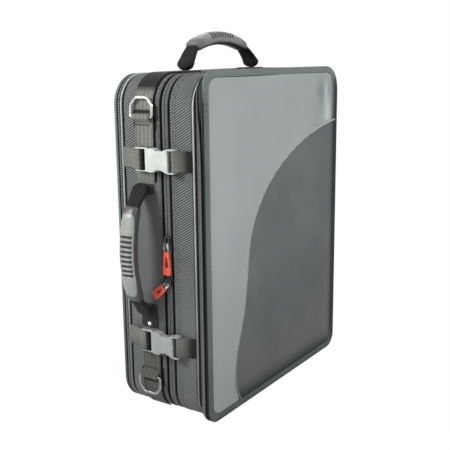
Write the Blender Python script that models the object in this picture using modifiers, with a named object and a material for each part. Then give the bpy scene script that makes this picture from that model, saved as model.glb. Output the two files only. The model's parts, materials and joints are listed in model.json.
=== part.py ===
# Oboe case: a fabric-covered hard case with a zip, two side-release buckles, a side handle,
# a top handle and a flat front pocket. Metres, +Z up. The front faces -Y and the wall with
# the buckles faces -X. The origin is under the middle of the case, on the floor.

from math import asin, atan2, cos, hypot, pi, radians, sin, sqrt

import bmesh
import bpy
from mathutils import Matrix, Vector
from mathutils.geometry import interpolate_bezier

# Outline of the case
CASE_WIDTH = 0.323
CASE_HEIGHT = 0.410
CORNER_RADIUS = 0.036
LEAST_RADIUS = 0.006
CORNER_STEPS = 6

# Layers from the back to the front
BACK_PANEL_THICKNESS = 0.0057
BACK_SHELL_DEPTH = 0.065
ZIP_WIDTH = 0.011
LID_DEPTH = 0.0353
POCKET_DEPTH = 0.0107
FRONT_PANEL_THICKNESS = 0.0034

# Fits
SEAT_GAP = 0.0003
OVERRUN = 0.005

# Walls of the two shells
WALL = 0.007
BACK_WALL = 0.006
LID_WALL = 0.0043
EDGE_ROUND = 0.002

# Bound edges of the back and the front
BINDING_WIDTH = 0.0095
BINDING_ROUND = 0.0016
FRONT_BINDING_RISE = 0.0003
BACK_PANEL_SINK = 0.0005

# Piping round the side walls
PIPING_RADIUS = 0.0013
PIPING_SIDES = 6
REAR_PIPING_SETBACK = 0.006

# Main zip and the fabric spine where it stops
ZIP_RECESS = 0.0022
ZIP_TAPE_INSET = 0.0008
TOOTH_WIDTH = 0.0018
TOOTH_SLOPE = 0.0004
ZIP_END_MARGIN = 0.060

# Front pocket
POCKET_WALL_DEPTH = 0.0048
POCKET_SKIN = 0.0014
POCKET_SIDE = 0.0018
POCKET_FLANGE = 0.007
BOARD_THICKNESS = 0.0017
SKIN_THICKNESS = 0.0014
SKIN_ROUND = 0.0004

# Seam that parts the two front skins, as shares of the width and the height
SEAM_RADIUS = 0.0011
SEAM_SIDES = 6
SEAM_STEPS = 8
SEAM_START_SHARE = 0.8244
SEAM_END_SHARE = -0.2910
SEAM_HANDLE_START_SHARES = (0.1858, 0.8000)
SEAM_HANDLE_END_SHARES = (-0.3065, 0.0415)
SEAM_KNOT_SHARES = (
    ((-0.1486, 0.7073), (-0.2229, 0.5049), (-0.2353, 0.4463)),
    ((-0.2477, 0.3659), (-0.2601, 0.3122), (-0.2786, 0.2439)),
    ((-0.3282, 0.1829), (-0.3251, 0.1024), (-0.3235, 0.0732)),
)

# Foam tray: each recess is placed and sized in shares of the tray's width, height and depth,
# as (middle x from the centre, middle z from the bottom, width, height, depth), with its
# corner radius as a share of its own width or height, whichever is less
TRAY_SETBACK = 0.001
TRAY_EDGE = 0.0015
RECESS_ROUND = 0.004
RECESS_STEPS = 4
RECESS_SHARES = {
    "upper_joint": (-0.376, 0.626, 0.149, 0.670, 0.69, 0.43),
    "upper_joint_keys": (-0.376, 0.626, 0.078, 0.632, 0.83, 0.42),
    "lower_joint": (-0.156, 0.626, 0.188, 0.663, 0.73, 0.41),
    "lower_joint_keys": (-0.156, 0.626, 0.097, 0.622, 0.87, 0.40),
    "finger_notch": (-0.272, 0.626, 0.190, 0.116, 0.52, 0.30),
    "bell": (-0.214, 0.133, 0.454, 0.172, 0.80, 0.40),
    "reed_case": (0.266, 0.138, 0.357, 0.162, 0.45, 0.12),
    "accessories": (0.240, 0.649, 0.402, 0.620, 0.76, 0.08),
}

# Lid lining: rings as shares of its crown and of the margin that its crown takes
LINING_CROWN = 0.0107
LINING_MARGIN = 0.053
LINING_SHARES = ((0.0, 0.0), (0.35, 0.0), (0.67, 0.05), (0.86, 0.17), (0.97, 0.43), (1.0, 1.0))

# Webbing on the left wall and the top; the lower one ends part of the way round its corner
WEBBING_WIDTH = 0.024
WEBBING_THICKNESS = 0.0016
WEBBING_Y = 0.0197
WEBBING_CORNER_STEPS = 4

# Shoulder-strap rings and their sewn loops, with their distances from the middle of the wall
# as shares of the height
RING_WIRE_RADIUS = 0.0019
RING_HALF_WIDTH = 0.01485
RING_LEG = 0.009
RING_REACH = 0.020
RING_CORNER = 0.003
RING_ARCH_STEPS = 12
RING_CORNER_STEPS = 3
LOOP_THICKNESS = 0.0013
LOOP_TAIL = 0.016
LOOP_STEPS = 12
UPPER_RING_SHARE = 0.3853659
LOWER_RING_SHARE = 0.3829268
UPPER_RING_LEAN = 4.0

# Buckles: their distance from the middle of the wall as a share of the height, then sizes
# from the line where the two halves meet, forwards and outwards
BUCKLE_SHARE = 0.2682927
BUCKLE_MEETING_Y = 0.0093
BUCKLE_WIDTH = 0.0275
BUCKLE_BEVEL = 0.0007
MALE_REST = 0.0055
MALE_THICKNESS = 0.0048
MALE_FRAME_LENGTH = 0.018
MALE_SLOT_FRONT = 0.002
MALE_RAIL = 0.0015
MALE_BASE_LENGTH = 0.0043
MALE_BASE_WIDTH = 0.0218
MALE_TONGUE_LENGTH = 0.014
MALE_TONGUE_WIDTH = 0.0036
BUCKLE_CORNER = 0.0012
BAR_THICKNESS = 0.0026
BAR_REST = 0.00605
MALE_BAR_LENGTH = 0.003
FEMALE_BAR_LENGTH = 0.0024
STRAP_WIDTH = 0.024
STRAP_THICKNESS = 0.0014
STRAP_SLOT_PLAY = 0.0004
FEMALE_REST = 0.0026
FEMALE_THICKNESS = 0.0095
FEMALE_LENGTH = 0.0389
FEMALE_SLOT_LENGTH = 0.0041
FEMALE_RAIL = 0.0015
SOCKET_DEPTH = 0.0257
SOCKET_WIDTH = 0.0233
SOCKET_FLOOR = 0.0016
SOCKET_ROOF = 0.0015
FEMALE_HALF_SHARES = (
    (0.0, 0.93), (0.10, 0.99), (0.20, 1.0), (0.25, 0.985), (0.31, 0.88), (0.38, 0.755),
    (0.46, 0.72), (0.54, 0.755), (0.62, 0.83), (0.70, 0.93), (0.78, 1.0), (0.97, 1.0), (1.0, 0.94),
)

# Sprung arms of the male half: the outline of the upper one round its pivot
PRONG_PIVOT_AHEAD = 0.0018
PRONG_PIVOT_SIDE = 0.0094
PRONG_ROOT_RADIUS = 0.0015
PRONG_ROOT_STEPS = 6
PRONG_LENGTH = 0.0149
PRONG_HALF_WIDTH = 0.0019
PRONG_THIN = 0.0001
PRONG_SHARES = (
    (0.13, -0.79), (0.93, -0.58), (1.0, -0.21), (1.0, 0.26), (0.95, 0.63), (0.86, 0.95),
    (0.80, 1.0), (0.33, 1.0), (0.26, 0.90), (0.20, 0.62),
)

# Webbing of the buckles: the rise from the wall to the bar, in shares of its run and of the
# bar's height over the wall, then the fold round the bar, in named steps
STRAP_WALL_END_GAP = 0.0006
STRAP_RISE_SHARES = ((0.30, 0.02), (0.55, 0.22), (0.76, 0.60), (0.88, 0.86))
STRAP_FOLD_REACH = 0.0013
STRAP_FOLD_STEPS = 6
STRAP_TAIL = 0.0055
STRAP_TAIL_DROP = 0.0009

# Handles, along their span, across it and out from the wall: half the span as a share of the
# height, and half the grip as a share of that
HANDLE_SPAN_SHARE = 0.1804878
GRIP_LENGTH_SHARE = 0.7027027
HINGE_RISE = 0.0086
GRIP_DROP = 0.0119
SIDE_GRIP_RISE = 0.037
TOP_GRIP_RISE = 0.0404
GRIP_HALF_WIDTH = 0.010
GRIP_END_HALF_WIDTH = 0.0085
GRIP_HALF_THICKNESS = 0.009
GRIP_END_HALF_THICKNESS = 0.004
GRIP_SIDES = 12
GRIP_END_SHARES = (0.55, 0.68, 0.80, 0.90, 0.97)
GRIP_END_ROUND = 0.0008
GROOVE_COUNT = 9
GROOVE_PITCH = 0.00535
GROOVE_WIDTH = 0.0024
GROOVE_DEPTH = 0.0012
GROOVE_WALL = 0.0003
CORE_HALF_WIDTH = 0.0075
CORE_HALF_THICKNESS = 0.0015
CORE_STEPS = 8
SLEEVE_HALF_WIDTH = 0.012
SLEEVE_HALF_THICKNESS = 0.00225
SLEEVE_BULGE = 0.0010
SLEEVE_TAPER_SHARE = 0.55
SLEEVE_SHARES = (0.2, 0.4, 0.55, 0.7, 0.85, 1.0)
HANDLE_END_RADIUS = 0.0060
HANDLE_END_SHARES = (0.45, 0.78, 0.97)
SECTION_CHAMFER_SHARE = 0.45
SIDE_HANDLE_ABOVE_MIDDLE = 0.0015
TOP_HANDLE_X = -0.006

# Feet of the handles: how far inside the hinge each starts, and its length
FOOT_THICKNESS = 0.0016
FOOT_CORNER = 0.003
FOOT_CORNER_STEPS = 3
SIDE_FOOT_UPPER_START = 0.008
SIDE_FOOT_UPPER_LENGTH = 0.013
SIDE_FOOT_LOWER_START = 0.007
SIDE_FOOT_LOWER_LENGTH = 0.030
TOP_FOOT_START = 0.019
TOP_FOOT_LENGTH = 0.033
RIVET_RADIUS = 0.0027
RIVET_RISE = 0.0010
RIVET_MARGIN = 0.0045
RIVET_SHARES = ((0.0, 1.0), (0.45, 0.9), (0.85, 0.5), (1.0, 0.0), (0.0, 0.0))
RIVET_STEPS = 16

# Zip sliders, their wire links and their pulls
SLIDER_WIDTH = 0.009
SLIDER_LENGTH = 0.012
SLIDER_THICKNESS = 0.0022
SLIDER_REST = 0.0004
SLIDER_HALF_SHARES = ((0.58, -1.0), (0.92, -0.80), (1.0, -0.30), (0.80, 0.55), (0.62, 0.92), (0.40, 1.0))
CROWN_WIDTH = 0.0018
CROWN_BAR = 0.0010
CROWN_SINK = 0.0004
CROWN_OPENING_HALF_LENGTH = 0.00325
CROWN_OPENING_HEIGHT = 0.0022
CROWN_CHAMFER = 0.0009
LINK_WIRE_RADIUS = 0.0006
LINK_HALF_WIDTH = 0.0032
LINK_CORNER = 0.0007
LINK_SEAT = 0.0035
PULL_THICKNESS = 0.0032
PULL_HALF_WIDTH = 0.00575
PULL_HALF_SHARES = ((0.72, 0.0), (0.83, 0.04), (0.88, 0.30), (1.0, 0.80), (0.96, 0.93), (0.78, 1.0))
PULL_SLOT_SHARES = ((0.10, 0.24), (0.16, 0.40), (0.25, 0.56), (0.20, 0.63), (0.08, 0.66))
ZIP_PULLS = {
    "upper": {"reach": 0.0093, "length": 0.0280, "turn": 0.0},
    "lower": {"reach": 0.0075, "length": 0.0195, "turn": -48.0},
    "pocket": {"reach": 0.0080, "length": 0.0240, "turn": 180.0},
}
LINK_SIDE_SHIFT = {"upper": 0.0, "lower": -0.00087, "pocket": 0.0}
LINK_ALONG_CROWN = {"upper": -0.0023, "lower": -0.0009, "pocket": 0.0023}
UPPER_SLIDER_ABOVE_MIDDLE = 0.0163
LOWER_SLIDER_BELOW_MIDDLE = 0.0340
POCKET_SLIDER_X = -0.032

# Places that follow from the sizes above
CASE_DEPTH = (BACK_PANEL_THICKNESS + BACK_SHELL_DEPTH + ZIP_WIDTH + LID_DEPTH + POCKET_DEPTH
              + FRONT_PANEL_THICKNESS + 3 * SEAT_GAP)
BACK_Y = CASE_DEPTH / 2
SHELL_REAR_Y = BACK_Y - BACK_PANEL_THICKNESS - SEAT_GAP
SHELL_RIM_Y = SHELL_REAR_Y - BACK_SHELL_DEPTH
ZIP_Y = SHELL_RIM_Y - ZIP_WIDTH / 2
LID_RIM_Y = SHELL_RIM_Y - ZIP_WIDTH
LID_FRONT_Y = LID_RIM_Y - LID_DEPTH
POCKET_REAR_Y = LID_FRONT_Y - SEAT_GAP
POCKET_ZIP_Y = POCKET_REAR_Y - POCKET_WALL_DEPTH - SEAT_GAP / 2
POCKET_FRONT_Y = POCKET_REAR_Y - POCKET_DEPTH
FRONT_REAR_Y = POCKET_FRONT_Y - SEAT_GAP
FRONT_Y = FRONT_REAR_Y - FRONT_PANEL_THICKNESS
SHELL_FLOOR_Y = SHELL_REAR_Y - BACK_WALL
LID_FLOOR_Y = LID_FRONT_Y + LID_WALL
REAR_PIPING_Y = SHELL_REAR_Y - REAR_PIPING_SETBACK
FRONT_PIPING_Y = LID_FRONT_Y + PIPING_RADIUS + SEAT_GAP
CHANNEL_DEPTH = 2 * PIPING_RADIUS + SEAT_GAP
CHANNEL_HALF_WIDTH = PIPING_RADIUS + SEAT_GAP
LEFT_X = -CASE_WIDTH / 2
RIGHT_X = CASE_WIDTH / 2
INNER_INSET = BINDING_WIDTH + SEAT_GAP
SKIN_INSET = INNER_INSET + SEAT_GAP
LINK_RISE = SLIDER_REST + SLIDER_THICKNESS + CROWN_OPENING_HEIGHT / 2
MIDDLE_Z = CASE_HEIGHT / 2
ZIP_END_HIGH = CASE_HEIGHT - ZIP_END_MARGIN
ZIP_END_LOW = ZIP_END_MARGIN
BUCKLE_HEIGHTS = {
    "upper": MIDDLE_Z + BUCKLE_SHARE * CASE_HEIGHT,
    "lower": MIDDLE_Z - BUCKLE_SHARE * CASE_HEIGHT,
}
UPPER_RING_Z = MIDDLE_Z + UPPER_RING_SHARE * CASE_HEIGHT
LOWER_RING_Z = MIDDLE_Z - LOWER_RING_SHARE * CASE_HEIGHT
HANDLE_HALF_SPAN = HANDLE_SPAN_SHARE * CASE_HEIGHT
GRIP_HALF_LENGTH = GRIP_LENGTH_SHARE * HANDLE_HALF_SPAN
SIDE_HANDLE_Z = MIDDLE_Z + SIDE_HANDLE_ABOVE_MIDDLE
SIDE_FOOT_UPPER_INNER = HANDLE_HALF_SPAN - SIDE_FOOT_UPPER_START
SIDE_FOOT_UPPER_OUTER = SIDE_FOOT_UPPER_INNER + SIDE_FOOT_UPPER_LENGTH
SIDE_FOOT_LOWER_INNER = HANDLE_HALF_SPAN - SIDE_FOOT_LOWER_START
SIDE_FOOT_LOWER_OUTER = SIDE_FOOT_LOWER_INNER + SIDE_FOOT_LOWER_LENGTH
TOP_FOOT_INNER = HANDLE_HALF_SPAN - TOP_FOOT_START
TOP_FOOT_OUTER = TOP_FOOT_INNER + TOP_FOOT_LENGTH
UPPER_SLIDER_Z = MIDDLE_Z + UPPER_SLIDER_ABOVE_MIDDLE
LOWER_SLIDER_Z = MIDDLE_Z - LOWER_SLIDER_BELOW_MIDDLE

# Axes of a piece's own frame, as columns: forwards, up and out from the left wall; to the
# back, to the right and up on the top; and the frames of flat sections and of the front
ON_LEFT_WALL = Matrix(((0, 0, -1), (-1, 0, 0), (0, 1, 0))).to_4x4()
ON_TOP = Matrix(((0, 1, 0), (-1, 0, 0), (0, 0, 1))).to_4x4()
ON_FRONT = Matrix(((1, 0, 0), (0, 0, -1), (0, 1, 0))).to_4x4()
ALONG_WALL_UP = Matrix(((-1, 0, 0), (0, 0, 1), (0, 1, 0))).to_4x4()
ALONG_WALL_DOWN = Matrix(((-1, 0, 0), (0, 0, -1), (0, -1, 0))).to_4x4()
ACROSS_SLIDER = Matrix(((0, 0, 1), (1, 0, 0), (0, 1, 0))).to_4x4()
LEFT_HANDLE_TURN = Matrix.Rotation(radians(-90), 4, "Y")

# Colours, roughness and metallic value of each finish
FINISHES = {
    "ballistic_fabric": ((0.105, 0.115, 0.110, 1), 0.85, 0.0),
    "webbing": ((0.055, 0.060, 0.056, 1), 0.80, 0.0),
    "binding_tape": ((0.090, 0.100, 0.094, 1), 0.75, 0.0),
    "light_skin": ((0.250, 0.270, 0.265, 1), 0.55, 0.0),
    "dark_skin": ((0.100, 0.110, 0.108, 1), 0.80, 0.0),
    "piping": ((0.360, 0.375, 0.365, 1), 0.55, 0.0),
    "zip_tape": ((0.020, 0.021, 0.021, 1), 0.70, 0.0),
    "plush": ((0.030, 0.034, 0.045, 1), 0.95, 0.0),
    "buckle_plastic": ((0.620, 0.640, 0.620, 1), 0.30, 0.0),
    "chrome": ((0.800, 0.810, 0.810, 1), 0.12, 1.0),
    "slider_metal": ((0.420, 0.430, 0.430, 1), 0.30, 1.0),
    "grip_rubber": ((0.300, 0.315, 0.310, 1), 0.50, 0.0),
    "handle_sleeve": ((0.020, 0.021, 0.022, 1), 0.45, 0.0),
    "red_pull": ((0.850, 0.095, 0.060, 1), 0.45, 0.0),
}


def clear_scene():
    for piece in list(bpy.data.objects):
        bpy.data.objects.remove(piece, do_unlink=True)


def new_collection(name):
    collection = bpy.data.collections.new(name)
    bpy.context.scene.collection.children.link(collection)
    return collection


def new_finish(name):
    color, roughness, metallic = FINISHES[name]
    material = bpy.data.materials.new(name)
    material.use_nodes = True
    shader = material.node_tree.nodes["Principled BSDF"]
    shader.inputs["Base Color"].default_value = color
    shader.inputs["Roughness"].default_value = roughness
    shader.inputs["Metallic"].default_value = metallic
    material.diffuse_color = color
    return material


def joint_axis(name, location, parent=None):
    empty = bpy.data.objects.new(name, None)
    empty.empty_display_size = HINGE_RISE
    parts.objects.link(empty)
    hold(empty, parent, Matrix.Translation(location))
    return empty


def hold(piece, parent, place):
    piece.matrix_basis = place
    if parent:
        piece.parent = parent
        piece.matrix_parent_inverse = parent.matrix_world.inverted()
    bpy.context.view_layer.update()


def new_piece(name, mesh, finish, place=Matrix.Identity(4), parent=None):
    mesh.shade_smooth()
    mesh.set_sharp_from_angle(angle=radians(35))
    piece = bpy.data.objects.new(name, mesh)
    piece.data.materials.append(new_finish(finish))
    parts.objects.link(piece)
    hold(piece, parent, place)
    return piece


def new_cutter(name, mesh, place=Matrix.Identity(4)):
    cutter = bpy.data.objects.new(name, mesh)
    cutter.hide_render = True
    cutter.display_type = "WIRE"
    cutters.objects.link(cutter)
    hold(cutter, None, place)
    return cutter


def combine(piece, tool, operation="DIFFERENCE"):
    boolean = piece.modifiers.new(tool.name, "BOOLEAN")
    boolean.operation = operation
    boolean.solver = "EXACT"
    boolean.object = tool


def loft_mesh(name, rings, closed=False):
    # Rings of as many points each, joined in turn, with the first and last filled
    build = bmesh.new()
    rows = [[build.verts.new(point) for point in ring] for ring in rings]
    pairs = list(zip(rows, rows[1:]))
    if closed:
        pairs.append((rows[-1], rows[0]))
    else:
        build.faces.new(rows[0])
        build.faces.new(rows[-1])
    for near, far in pairs:
        for here in range(len(near)):
            after = (here + 1) % len(near)
            build.faces.new((near[here], near[after], far[after], far[here]))
    bmesh.ops.recalc_face_normals(build, faces=build.faces)
    mesh = bpy.data.meshes.new(name)
    build.to_mesh(mesh)
    build.free()
    return mesh


def box_mesh(name, low, high):
    low, high = Vector(low), Vector(high)
    build = bmesh.new()
    place = Matrix.Translation((low + high) / 2) @ Matrix.Diagonal((*(high - low), 1))
    bmesh.ops.create_cube(build, size=1, matrix=place)
    mesh = bpy.data.meshes.new(name)
    build.to_mesh(mesh)
    build.free()
    return mesh


def curve_mesh(name, curve):
    # The evaluated mesh of a curve, with its loose caps welded to its sides
    helper = bpy.data.objects.new(name, curve)
    bpy.context.scene.collection.objects.link(helper)
    evaluated = helper.evaluated_get(bpy.context.evaluated_depsgraph_get())
    mesh = bpy.data.meshes.new_from_object(evaluated)
    bpy.data.objects.remove(helper)
    bpy.data.curves.remove(curve)
    build = bmesh.new()
    build.from_mesh(mesh)
    bmesh.ops.remove_doubles(build, verts=build.verts, dist=SEAT_GAP / 100)
    bmesh.ops.recalc_face_normals(build, faces=build.faces)
    build.to_mesh(mesh)
    build.free()
    mesh.name = name
    return mesh


def add_spline(curve, points, cyclic):
    spline = curve.splines.new("POLY")
    spline.points.add(len(points) - 1)
    for point, place in zip(spline.points, points):
        point.co = (*place, *([0] * (3 - len(place))), 1)
    spline.use_cyclic_u = cyclic


def plate_mesh(name, outlines, thickness):
    # A flat outline, with holes after it, centred on its own plane
    curve = bpy.data.curves.new(name, "CURVE")
    curve.dimensions = "2D"
    curve.fill_mode = "BOTH"
    curve.extrude = thickness / 2
    for outline in outlines:
        add_spline(curve, outline, True)
    return curve_mesh(name, curve)


def tube_mesh(name, points, radius, sides, cyclic=False):
    curve = bpy.data.curves.new(name, "CURVE")
    curve.dimensions = "3D"
    curve.bevel_depth = radius
    curve.bevel_resolution = sides // 2 - 2
    curve.use_fill_caps = not cyclic
    add_spline(curve, points, cyclic)
    return curve_mesh(name, curve)


def mirrored_outline(half):
    # Points above the x axis, run along it, followed by their mirror images run back
    return list(half) + [(x, -y) for x, y in reversed(half)]


def rounded_ring(middle_x, middle_z, width, height, radius, y, steps):
    ring = []
    for corner, (side_x, side_z) in enumerate(((1, 1), (-1, 1), (-1, -1), (1, -1))):
        for step in range(steps + 1):
            angle = (corner + step / steps) * pi / 2
            x = middle_x + side_x * (width / 2 - radius) + radius * cos(angle)
            z = middle_z + side_z * (height / 2 - radius) + radius * sin(angle)
            ring.append(Vector((x, y, z)))
    return ring


def case_ring(y, inset):
    radius = max(CORNER_RADIUS - inset, LEAST_RADIUS)
    width = CASE_WIDTH - 2 * inset
    height = CASE_HEIGHT - 2 * inset
    return rounded_ring(0, CASE_HEIGHT / 2, width, height, radius, y, CORNER_STEPS)


def case_layer(name, profile, finish, parent=None):
    # A layer or tray whose profile runs over (depth, inset from the walls)
    mesh = loft_mesh(name, [case_ring(y, inset) for y, inset in profile])
    return new_piece(name, mesh, finish, parent=parent)


def corner_stations(corner):
    # Points of one corner of the outline with the direction out of the wall,
    # for corners counted from the top right one, the way that turns to the left
    side_x, side_z = ((1, 1), (-1, 1), (-1, -1), (1, -1))[corner]
    middle = Vector((side_x * (CASE_WIDTH / 2 - CORNER_RADIUS), 0,
                     CASE_HEIGHT / 2 + side_z * (CASE_HEIGHT / 2 - CORNER_RADIUS)))
    stations = []
    for step in range(CORNER_STEPS + 1):
        angle = (corner + step / CORNER_STEPS) * pi / 2
        out = Vector((cos(angle), 0, sin(angle)))
        stations.append((middle + CORNER_RADIUS * out, out))
    return stations


def outline_stations():
    return [station for corner in range(4) for station in corner_stations(corner)]


def zip_stations():
    right = Vector((1, 0, 0))
    start = (Vector((RIGHT_X, 0, ZIP_END_HIGH)), right)
    end = (Vector((RIGHT_X, 0, ZIP_END_LOW)), right)
    return [start] + outline_stations() + [end]


def sweep(name, profile, stations, finish, closed=False, parent=None):
    # A section over (depth, inset from the wall) carried along the outline
    rings = []
    for point, out in stations:
        rings.append([point + Vector((0, y, 0)) - out * inset for y, inset in profile])
    return new_piece(name, loft_mesh(name, rings, closed), finish, parent=parent)


def ribbon(name, path, width, thickness, finish, place, parent=None):
    # A strip along a path in its frame's x and z, with its width along y
    build = bmesh.new()
    rows = []
    for x, z in path:
        rows.append([build.verts.new((x, side * width / 2, z)) for side in (-1, 1)])
    for near, far in zip(rows, rows[1:]):
        build.faces.new((near[0], near[1], far[1], far[0]))
    mesh = bpy.data.meshes.new(name)
    build.to_mesh(mesh)
    build.free()
    piece = new_piece(name, mesh, finish, place, parent)
    solidify = piece.modifiers.new("thickness", "SOLIDIFY")
    solidify.thickness = thickness
    solidify.offset = 0
    solidify.use_even_offset = True
    return piece


def make_back_half():
    tooth = SEAT_GAP / 2
    case_layer("back_shell", (
        (SHELL_REAR_Y, EDGE_ROUND),
        (SHELL_REAR_Y - EDGE_ROUND, 0),
        (REAR_PIPING_Y + CHANNEL_HALF_WIDTH, 0),
        (REAR_PIPING_Y + CHANNEL_HALF_WIDTH, CHANNEL_DEPTH),
        (REAR_PIPING_Y - CHANNEL_HALF_WIDTH, CHANNEL_DEPTH),
        (REAR_PIPING_Y - CHANNEL_HALF_WIDTH, 0),
        (SHELL_RIM_Y, 0),
        (SHELL_RIM_Y, ZIP_RECESS),
        (ZIP_Y + tooth, ZIP_RECESS),
        (ZIP_Y + tooth, WALL),
        (SHELL_FLOOR_Y, WALL),
    ), "ballistic_fabric")
    case_layer("back_panel", (
        (SHELL_REAR_Y + SEAT_GAP, INNER_INSET),
        (BACK_Y - BACK_PANEL_SINK - BINDING_ROUND, INNER_INSET),
        (BACK_Y - BACK_PANEL_SINK, INNER_INSET + BINDING_ROUND),
    ), "ballistic_fabric")
    sweep("back_binding", binding_profile(SHELL_REAR_Y + SEAT_GAP, BACK_Y), outline_stations(),
          "binding_tape", closed=True)
    sweep("rear_piping", piping_profile(REAR_PIPING_Y), outline_stations(), "piping", closed=True)
    sweep("zip_tape_back", zip_tape_profile(1), zip_stations(), "zip_tape")
    make_spine("spine_back", 1)


def binding_profile(seat, crest):
    # A bound edge from its seat to its crest, rounded on the two corners away from the seat
    away = 1 if crest > seat else -1
    return (
        (seat, 0),
        (crest - 2 * away * BINDING_ROUND, 0),
        (crest - away * BINDING_ROUND / 2, BINDING_ROUND / 2),
        (crest, 2 * BINDING_ROUND),
        (crest, BINDING_WIDTH - BINDING_ROUND),
        (crest - away * BINDING_ROUND / 2, BINDING_WIDTH),
        (seat, BINDING_WIDTH),
    )


def piping_profile(y):
    turns = [2 * pi * side / PIPING_SIDES for side in range(PIPING_SIDES)]
    return [(y + PIPING_RADIUS * cos(turn), PIPING_RADIUS * (1 + sin(turn))) for turn in turns]


def zip_tape_profile(side):
    # One half of the zip, with its raised teeth next to the middle; side is 1 on the back half
    def at(distance):
        return ZIP_Y + side * distance
    outer = ZIP_WIDTH / 2 - SEAT_GAP
    under = ZIP_RECESS - SEAT_GAP
    return (
        (at(outer), under),
        (at(outer), ZIP_TAPE_INSET),
        (at(TOOTH_WIDTH + TOOTH_SLOPE), ZIP_TAPE_INSET),
        (at(TOOTH_WIDTH), 0),
        (at(SEAT_GAP / 2), 0),
        (at(SEAT_GAP / 2), under),
    )


def make_spine(name, side, parent=None):
    # The fabric that takes the place of the zip on the hinge wall
    edge = ZIP_Y + side * (ZIP_WIDTH / 2 - SEAT_GAP)
    middle = ZIP_Y + side * SEAT_GAP / 2
    low = (RIGHT_X - ZIP_RECESS + SEAT_GAP, min(edge, middle), ZIP_END_LOW + SEAT_GAP)
    high = (RIGHT_X, max(edge, middle), ZIP_END_HIGH - SEAT_GAP)
    new_piece(name, box_mesh(name, low, high), "binding_tape", parent=parent)


def make_foam_tray():
    inset = WALL + SEAT_GAP
    floor = SHELL_FLOOR_Y - SEAT_GAP
    face = SHELL_RIM_Y + TRAY_SETBACK
    tray = case_layer("foam_tray", (
        (floor, inset),
        (face + TRAY_EDGE, inset),
        (face, inset + TRAY_EDGE),
    ), "plush")
    tray_width = CASE_WIDTH - 2 * inset
    tray_height = CASE_HEIGHT - 2 * inset
    for name, shares in RECESS_SHARES.items():
        middle_x, middle_z, width_share, height_share, depth_share, radius_share = shares
        width = width_share * tray_width
        height = height_share * tray_height
        radius = radius_share * min(width, height) / 2 + RECESS_ROUND
        bottom = face + depth_share * (floor - face)
        rings = []
        for y, inward in ((face - OVERRUN, 0), (bottom - RECESS_ROUND, 0), (bottom, RECESS_ROUND)):
            rings.append(rounded_ring(middle_x * tray_width, inset + middle_z * tray_height,
                                      width - 2 * inward, height - 2 * inward,
                                      min(radius, min(width, height) / 2) - inward, y, RECESS_STEPS))
        combine(tray, new_cutter("recess_" + name, loft_mesh("recess_" + name, rings)))


def make_lid(lid):
    tooth = SEAT_GAP / 2
    case_layer("lid_shell", (
        (LID_FRONT_Y, CHANNEL_DEPTH),
        (FRONT_PIPING_Y + CHANNEL_HALF_WIDTH, CHANNEL_DEPTH),
        (FRONT_PIPING_Y + CHANNEL_HALF_WIDTH, 0),
        (LID_RIM_Y, 0),
        (LID_RIM_Y, ZIP_RECESS),
        (ZIP_Y - tooth, ZIP_RECESS),
        (ZIP_Y - tooth, WALL),
        (LID_FLOOR_Y, WALL),
    ), "ballistic_fabric", lid)
    lining_rear = LID_FLOOR_Y + SEAT_GAP
    case_layer("lid_lining", [
        (lining_rear + LINING_CROWN * rise, WALL + SEAT_GAP + LINING_MARGIN * margin)
        for rise, margin in LINING_SHARES
    ], "plush", lid)
    sweep("front_piping", piping_profile(FRONT_PIPING_Y), outline_stations(), "piping", True, lid)
    sweep("zip_tape_lid", zip_tape_profile(-1), zip_stations(), "zip_tape", parent=lid)
    make_spine("spine_lid", -1, lid)
    sweep("pocket_wall", (
        (POCKET_REAR_Y, 0),
        (POCKET_REAR_Y - POCKET_WALL_DEPTH, 0),
        (POCKET_REAR_Y - POCKET_WALL_DEPTH, POCKET_SIDE),
        (POCKET_REAR_Y - POCKET_SKIN, POCKET_SIDE),
        (POCKET_REAR_Y - POCKET_SKIN, POCKET_FLANGE),
        (POCKET_REAR_Y, POCKET_FLANGE),
    ), outline_stations(), "ballistic_fabric", True, lid)


def make_pocket(pocket):
    opening = POCKET_REAR_Y - POCKET_WALL_DEPTH - SEAT_GAP
    sweep("pocket_gusset", (
        (opening, 0),
        (POCKET_FRONT_Y, 0),
        (POCKET_FRONT_Y, POCKET_FLANGE),
        (POCKET_FRONT_Y + POCKET_SKIN, POCKET_FLANGE),
        (POCKET_FRONT_Y + POCKET_SKIN, POCKET_SIDE),
        (opening, POCKET_SIDE),
    ), outline_stations(), "ballistic_fabric", True, pocket)
    board_front = FRONT_REAR_Y - BOARD_THICKNESS
    case_layer("pocket_board", ((FRONT_REAR_Y, INNER_INSET), (board_front, INNER_INSET)),
               "dark_skin", pocket)
    sweep("front_binding", binding_profile(FRONT_REAR_Y, FRONT_Y - FRONT_BINDING_RISE),
          outline_stations(), "binding_tape", True, pocket)
    make_front_skins(board_front - SEAT_GAP, pocket)


def seam_points():
    # The centre line of the seam over (x, z), from the right edge to the bottom edge
    def at(shares):
        return Vector((shares[0] * CASE_WIDTH, shares[1] * CASE_HEIGHT))
    start = Vector((CASE_WIDTH / 2 - SKIN_INSET, SEAM_START_SHARE * CASE_HEIGHT))
    end = Vector((SEAM_END_SHARE * CASE_WIDTH, SKIN_INSET))
    knots = [(None, start, at(SEAM_HANDLE_START_SHARES))]
    knots += [tuple(at(shares) for shares in knot) for knot in SEAM_KNOT_SHARES]
    knots.append((at(SEAM_HANDLE_END_SHARES), end, None))
    points = [start]
    for (_, knot, leave), (arrive, following, _) in zip(knots, knots[1:]):
        points += interpolate_bezier(knot, leave, arrive, following, SEAM_STEPS + 1)[1:]
    return [Vector(point).to_2d() for point in points]


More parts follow.
